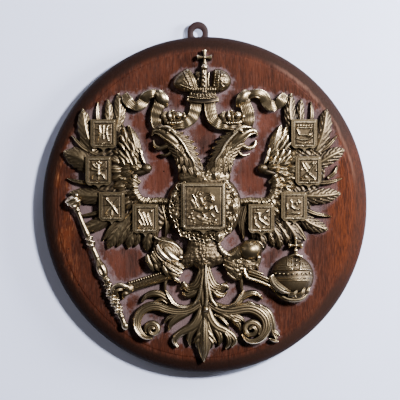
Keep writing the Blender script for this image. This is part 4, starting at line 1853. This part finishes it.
def oak(name="oak"):
    """Old stained oak, its grain upright, with pores, worm holes and a grey bloom near the brass."""
    shade = Shade(name)
    ramp = shade.ramp
    tint = lambda colour, mask, tone: shade.mix(mask, colour, OAK_TONES[tone])
    grain = lambda size, detail, roughness, along: shade.noise(
        size, detail, roughness, shade.stretched(1, 1, along))
    across = shade.x - float(CENTRE[0]) / MM
    upward = shade.z - float(CENTRE[2]) / MM
    out = shade.math("SQRT", (across / SQUEEZE) ** 2 + upward ** 2)
    front = ramp(0 - shade.y, 9, 14)
    # The grain is noise drawn out along the height
    fibre = grain(0.9, 3, 0.65, 0.08)
    pale = ramp(grain(1.2, 2, 0.5, 0.1), 0.54, 0.68)
    pores = ramp(grain(0.9, 2, 0.5, 0.12), 0.54, 0.66)
    streak = grain(5, 4, 0.65, 0.05)
    blot = grain(30, 4, 0.6, 0.6)
    tone = 0.42 * streak + 0.58 * fibre
    colour = shade.mix(ramp(tone, 0.32, 0.68), OAK_TONES["deep"], OAK_TONES["stained"])
    colour = tint(colour, ramp(blot, 0.44, 0.66) * 0.4, "blot")
    colour = tint(colour, pale * 0.28, "pale")
    # Warm bands at the left and right, where light has faded the stain
    beside = 1 - ramp(abs(upward + 5), 60, 105)
    right = ramp(across, 140, 164) * beside
    left = ramp(across, -140, -170) * ramp(blot, 0.4, 0.55)
    warm = shade.math("MINIMUM", right + left, 1) * (0.35 + 0.65 * ramp(tone, 0.36, 0.6))
    colour = tint(colour, warm * 0.46, "amber")
    colour = tint(colour, ramp(across, 100, 160) * (1 - ramp(fibre, 0.4, 0.54)) * 0.62, "dark")
    colour = tint(colour, pale * left * front * 0.5, "sunlit")
    colour = tint(colour, pores * 0.5, "pore")
    # Polish that stayed round the brass, and redder wood between
    haze = (1 - ramp(out, 110, 160)) * (0.4 + 0.6 * ramp(streak, 0.4, 0.6))
    colour = tint(colour, haze * 0.15, "haze")
    redder = ramp(blot, 0.4, 0.58) * (1 - ramp(out, 120, 150))
    colour = tint(colour, redder * 0.27, "red")
    near = shade.attribute("relief")
    patchy = shade.noise(6, 4, 0.7) * 0.6 + blot * 0.4
    bloom = ramp(near * 0.72 + (patchy - 0.5) * 1.8, 0.23, 0.6) * (1 - 0.6 * ramp(across, 125, 148))
    colour = tint(colour, bloom * (0.38 + 0.45 * fibre), "bloom")
    # The crack at the foot and the worm holes
    crack = 1 - ramp(abs(across - CRACK_X), 0.15, 0.55)
    crack = crack * ramp(upward, CRACK_TOP, CRACK_TOP - 5)
    colour = tint(colour, crack, "crack")
    holes = 0
    for hole_x, hole_y in WORM_HOLES:
        away = shade.math("SQRT", (across - hole_x) ** 2 + (upward - hole_y) ** 2)
        holes = (1 - ramp(away, 0.6, 1)) + holes
    colour = tint(colour, shade.math("MINIMUM", holes, 1), "hole")
    # The dark moulded rim, less dark at the right, and its rubbed line
    rim = ramp(out, RADIUS - 20, RADIUS - 11)
    dark = shade.mix(ramp(across, 0, 120), OAK_TONES["rim_left"], OAK_TONES["rim_right"])
    dark = tint(dark, fibre * 0.6, "rim_fibre")
    colour = shade.mix(rim * (0.94 - 0.42 * ramp(across, 130, 160) * beside), colour, dark)
    uneven = (blot - 0.5) * 8 + (streak - 0.5) * 7
    rubbed = 1 - ramp(abs(out - (RADIUS - 14.5) + uneven), 0.2, 3.2)
    rubbed = rubbed * ramp(across, 70, 105) * ramp(upward, 10, 60)
    rubbed = rubbed * (0.4 + 0.6 * ramp(streak, 0.4, 0.55))
    colour = tint(colour, rubbed * front * 0.5, "rubbed")
    roughness = 0.44 + 0.12 * (1 - tone) + 0.22 * bloom + 0.05 * rim
    height = fibre * 0.6 - pores * 0.7 - crack * 2 - holes * 3 + streak * 0.4 + bloom * 0.3
    bump = shade.bump(height, 0.36, 0.75)
    return shade.finish(Base_Color=colour, Roughness=roughness, Normal=bump, Specular_IOR_Level=0.035)


# %% Hanger metal
def dark_metal(name="dark_metal"):
    """Iron under old dark brown paint, a little chipped."""
    shade = Shade(name)
    fine = shade.noise(1.6, 4, 0.6)
    chips = shade.ramp(shade.noise(2.6, 4, 0.65), 0.66, 0.72)
    colour = shade.mix(fine, (0.008, 0.003, 0.004), (0.022, 0.0085, 0.0095))
    colour = shade.mix(chips * 0.5, colour, (0.07, 0.05, 0.045))
    bump = shade.bump(fine - chips * 0.6, 0.12, 0.6)
    roughness, metallic = 0.6 - chips * 0.15, chips * 0.5
    return shade.finish(
        Base_Color=colour, Roughness=roughness, Metallic=metallic, Normal=bump, Specular_IOR_Level=0.15,
    )


BRASS, OAK, IRON = brass(), oak(), dark_metal()

# %% Build the pieces
def with_bloom(shell):
    """The plaque's shell, its relief now the nearness of the brass on the front face."""
    points, quads, triangles, relief = shell
    index = cell_of(points)
    near = brass_near[index[:, 0], index[:, 1]] * (points[:, 2] > -1)
    return points, quads, triangles, near


groups["plaque"] = [with_bloom(shell) for shell in plaque_shells()]
pieces = {}
for name, shells in groups.items():
    material, slot, node = BRASS, "brass", "eagle"
    if name == "plaque":
        material, slot, node = OAK, "oak", "plaque"
    if name == "hanger":
        material, slot, node = IRON, "dark_metal", "hanger_plate"
    pieces[name] = build_piece(name, shells, material, slot, node)

# %% [markdown]
# ## Stage, light and camera
#
# A pale wall just behind the plaque, a key light from the upper right and front, four
# weaker lamps, and a long lens square on to the plaque's middle, as in the photograph.

# %% Stage
WALL_GLOW = (0.95, 0.9, 1, 1)


def plain_material(name, colour, roughness=0.9, glow=0.035):
    """Wall paint that gives back a little cool light of its own, like a lit studio round it."""
    shade = Shade(name)
    grain = shade.noise(30, 2)
    tone = shade.mix(grain, tuple(c * 0.985 for c in colour), colour)
    return shade.finish(
        Base_Color=tone, Roughness=roughness, Emission_Color=WALL_GLOW, Emission_Strength=glow)


bpy.ops.mesh.primitive_plane_add(size=6, location=(0, 0.008, -0.2), rotation=(math.pi / 2, 0, 0))
wall = bpy.context.object
wall.name = "wall"
wall.data.materials.append(plain_material("wall_paint", (0.6, 0.665, 0.93)))
wall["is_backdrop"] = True


# %% Light
def area_light(name, location, target, size, power, colour):
    """A round lamp that looks from its place at the target."""
    data = bpy.data.lights.new(name, "AREA")
    data.shape = "DISK"
    data.size = size
    data.energy = power
    data.color = colour
    lamp = bpy.data.objects.new(name, data)
    bpy.context.collection.objects.link(lamp)
    lamp.location = location
    lamp.rotation_euler = (Vector(target) - Vector(location)).to_track_quat("-Z", "Y").to_euler()
    return lamp


middle = (float(CENTRE[0]), 0, float(CENTRE[2]))
area_light("key", (1.15, -1.95, 0.48), middle, 0.32, 160, (1, 0.975, 0.94))
area_light("fill", (-1.3, -1.2, 0.4), middle, 0.9, 3.6, (1, 0.97, 0.96))
area_light("side", (1.5, -0.75, 0.15), middle, 0.5, 31, (1, 0.99, 0.97))
area_light("top", (0.2, -0.5, 1.2), middle, 0.5, 5, (0.97, 0.98, 1))
area_light("wash", (0.66, -0.32, 0.1), (0.3, 0, -0.08), 0.3, 8, (0.93, 0.97, 1))

world = bpy.data.worlds.new("studio")
world.use_nodes = True
background = world.node_tree.nodes["Background"]
background.inputs["Color"].default_value = (0.6, 0.58, 0.61, 1)
background.inputs["Strength"].default_value = 0.06
bpy.context.scene.world = world

# %% Camera
CAMERA_AWAY, SENSOR, SEEN_WIDTH = 2.6, 36, 0.4784
camera_data = bpy.data.cameras.new("camera")
camera_data.sensor_width = SENSOR
camera_data.lens = SENSOR * (CAMERA_AWAY + float(FACE_Y)) / SEEN_WIDTH
camera = bpy.data.objects.new("camera", camera_data)
bpy.context.collection.objects.link(camera)
camera.location = (float(CENTRE[0]) - 0.0056, -CAMERA_AWAY, float(CENTRE[2]) + 0.0057)
camera.rotation_euler = (math.pi / 2, 0, 0)
bpy.context.scene.camera = camera

# %% Boxes and finish
model_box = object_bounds()
as_lists = lambda box: [[float(v) for v in corner] for corner in box]
{"cad": as_lists(cad_box), "model": as_lists(model_box)}
print("boxes", as_lists(cad_box), as_lists(model_box))
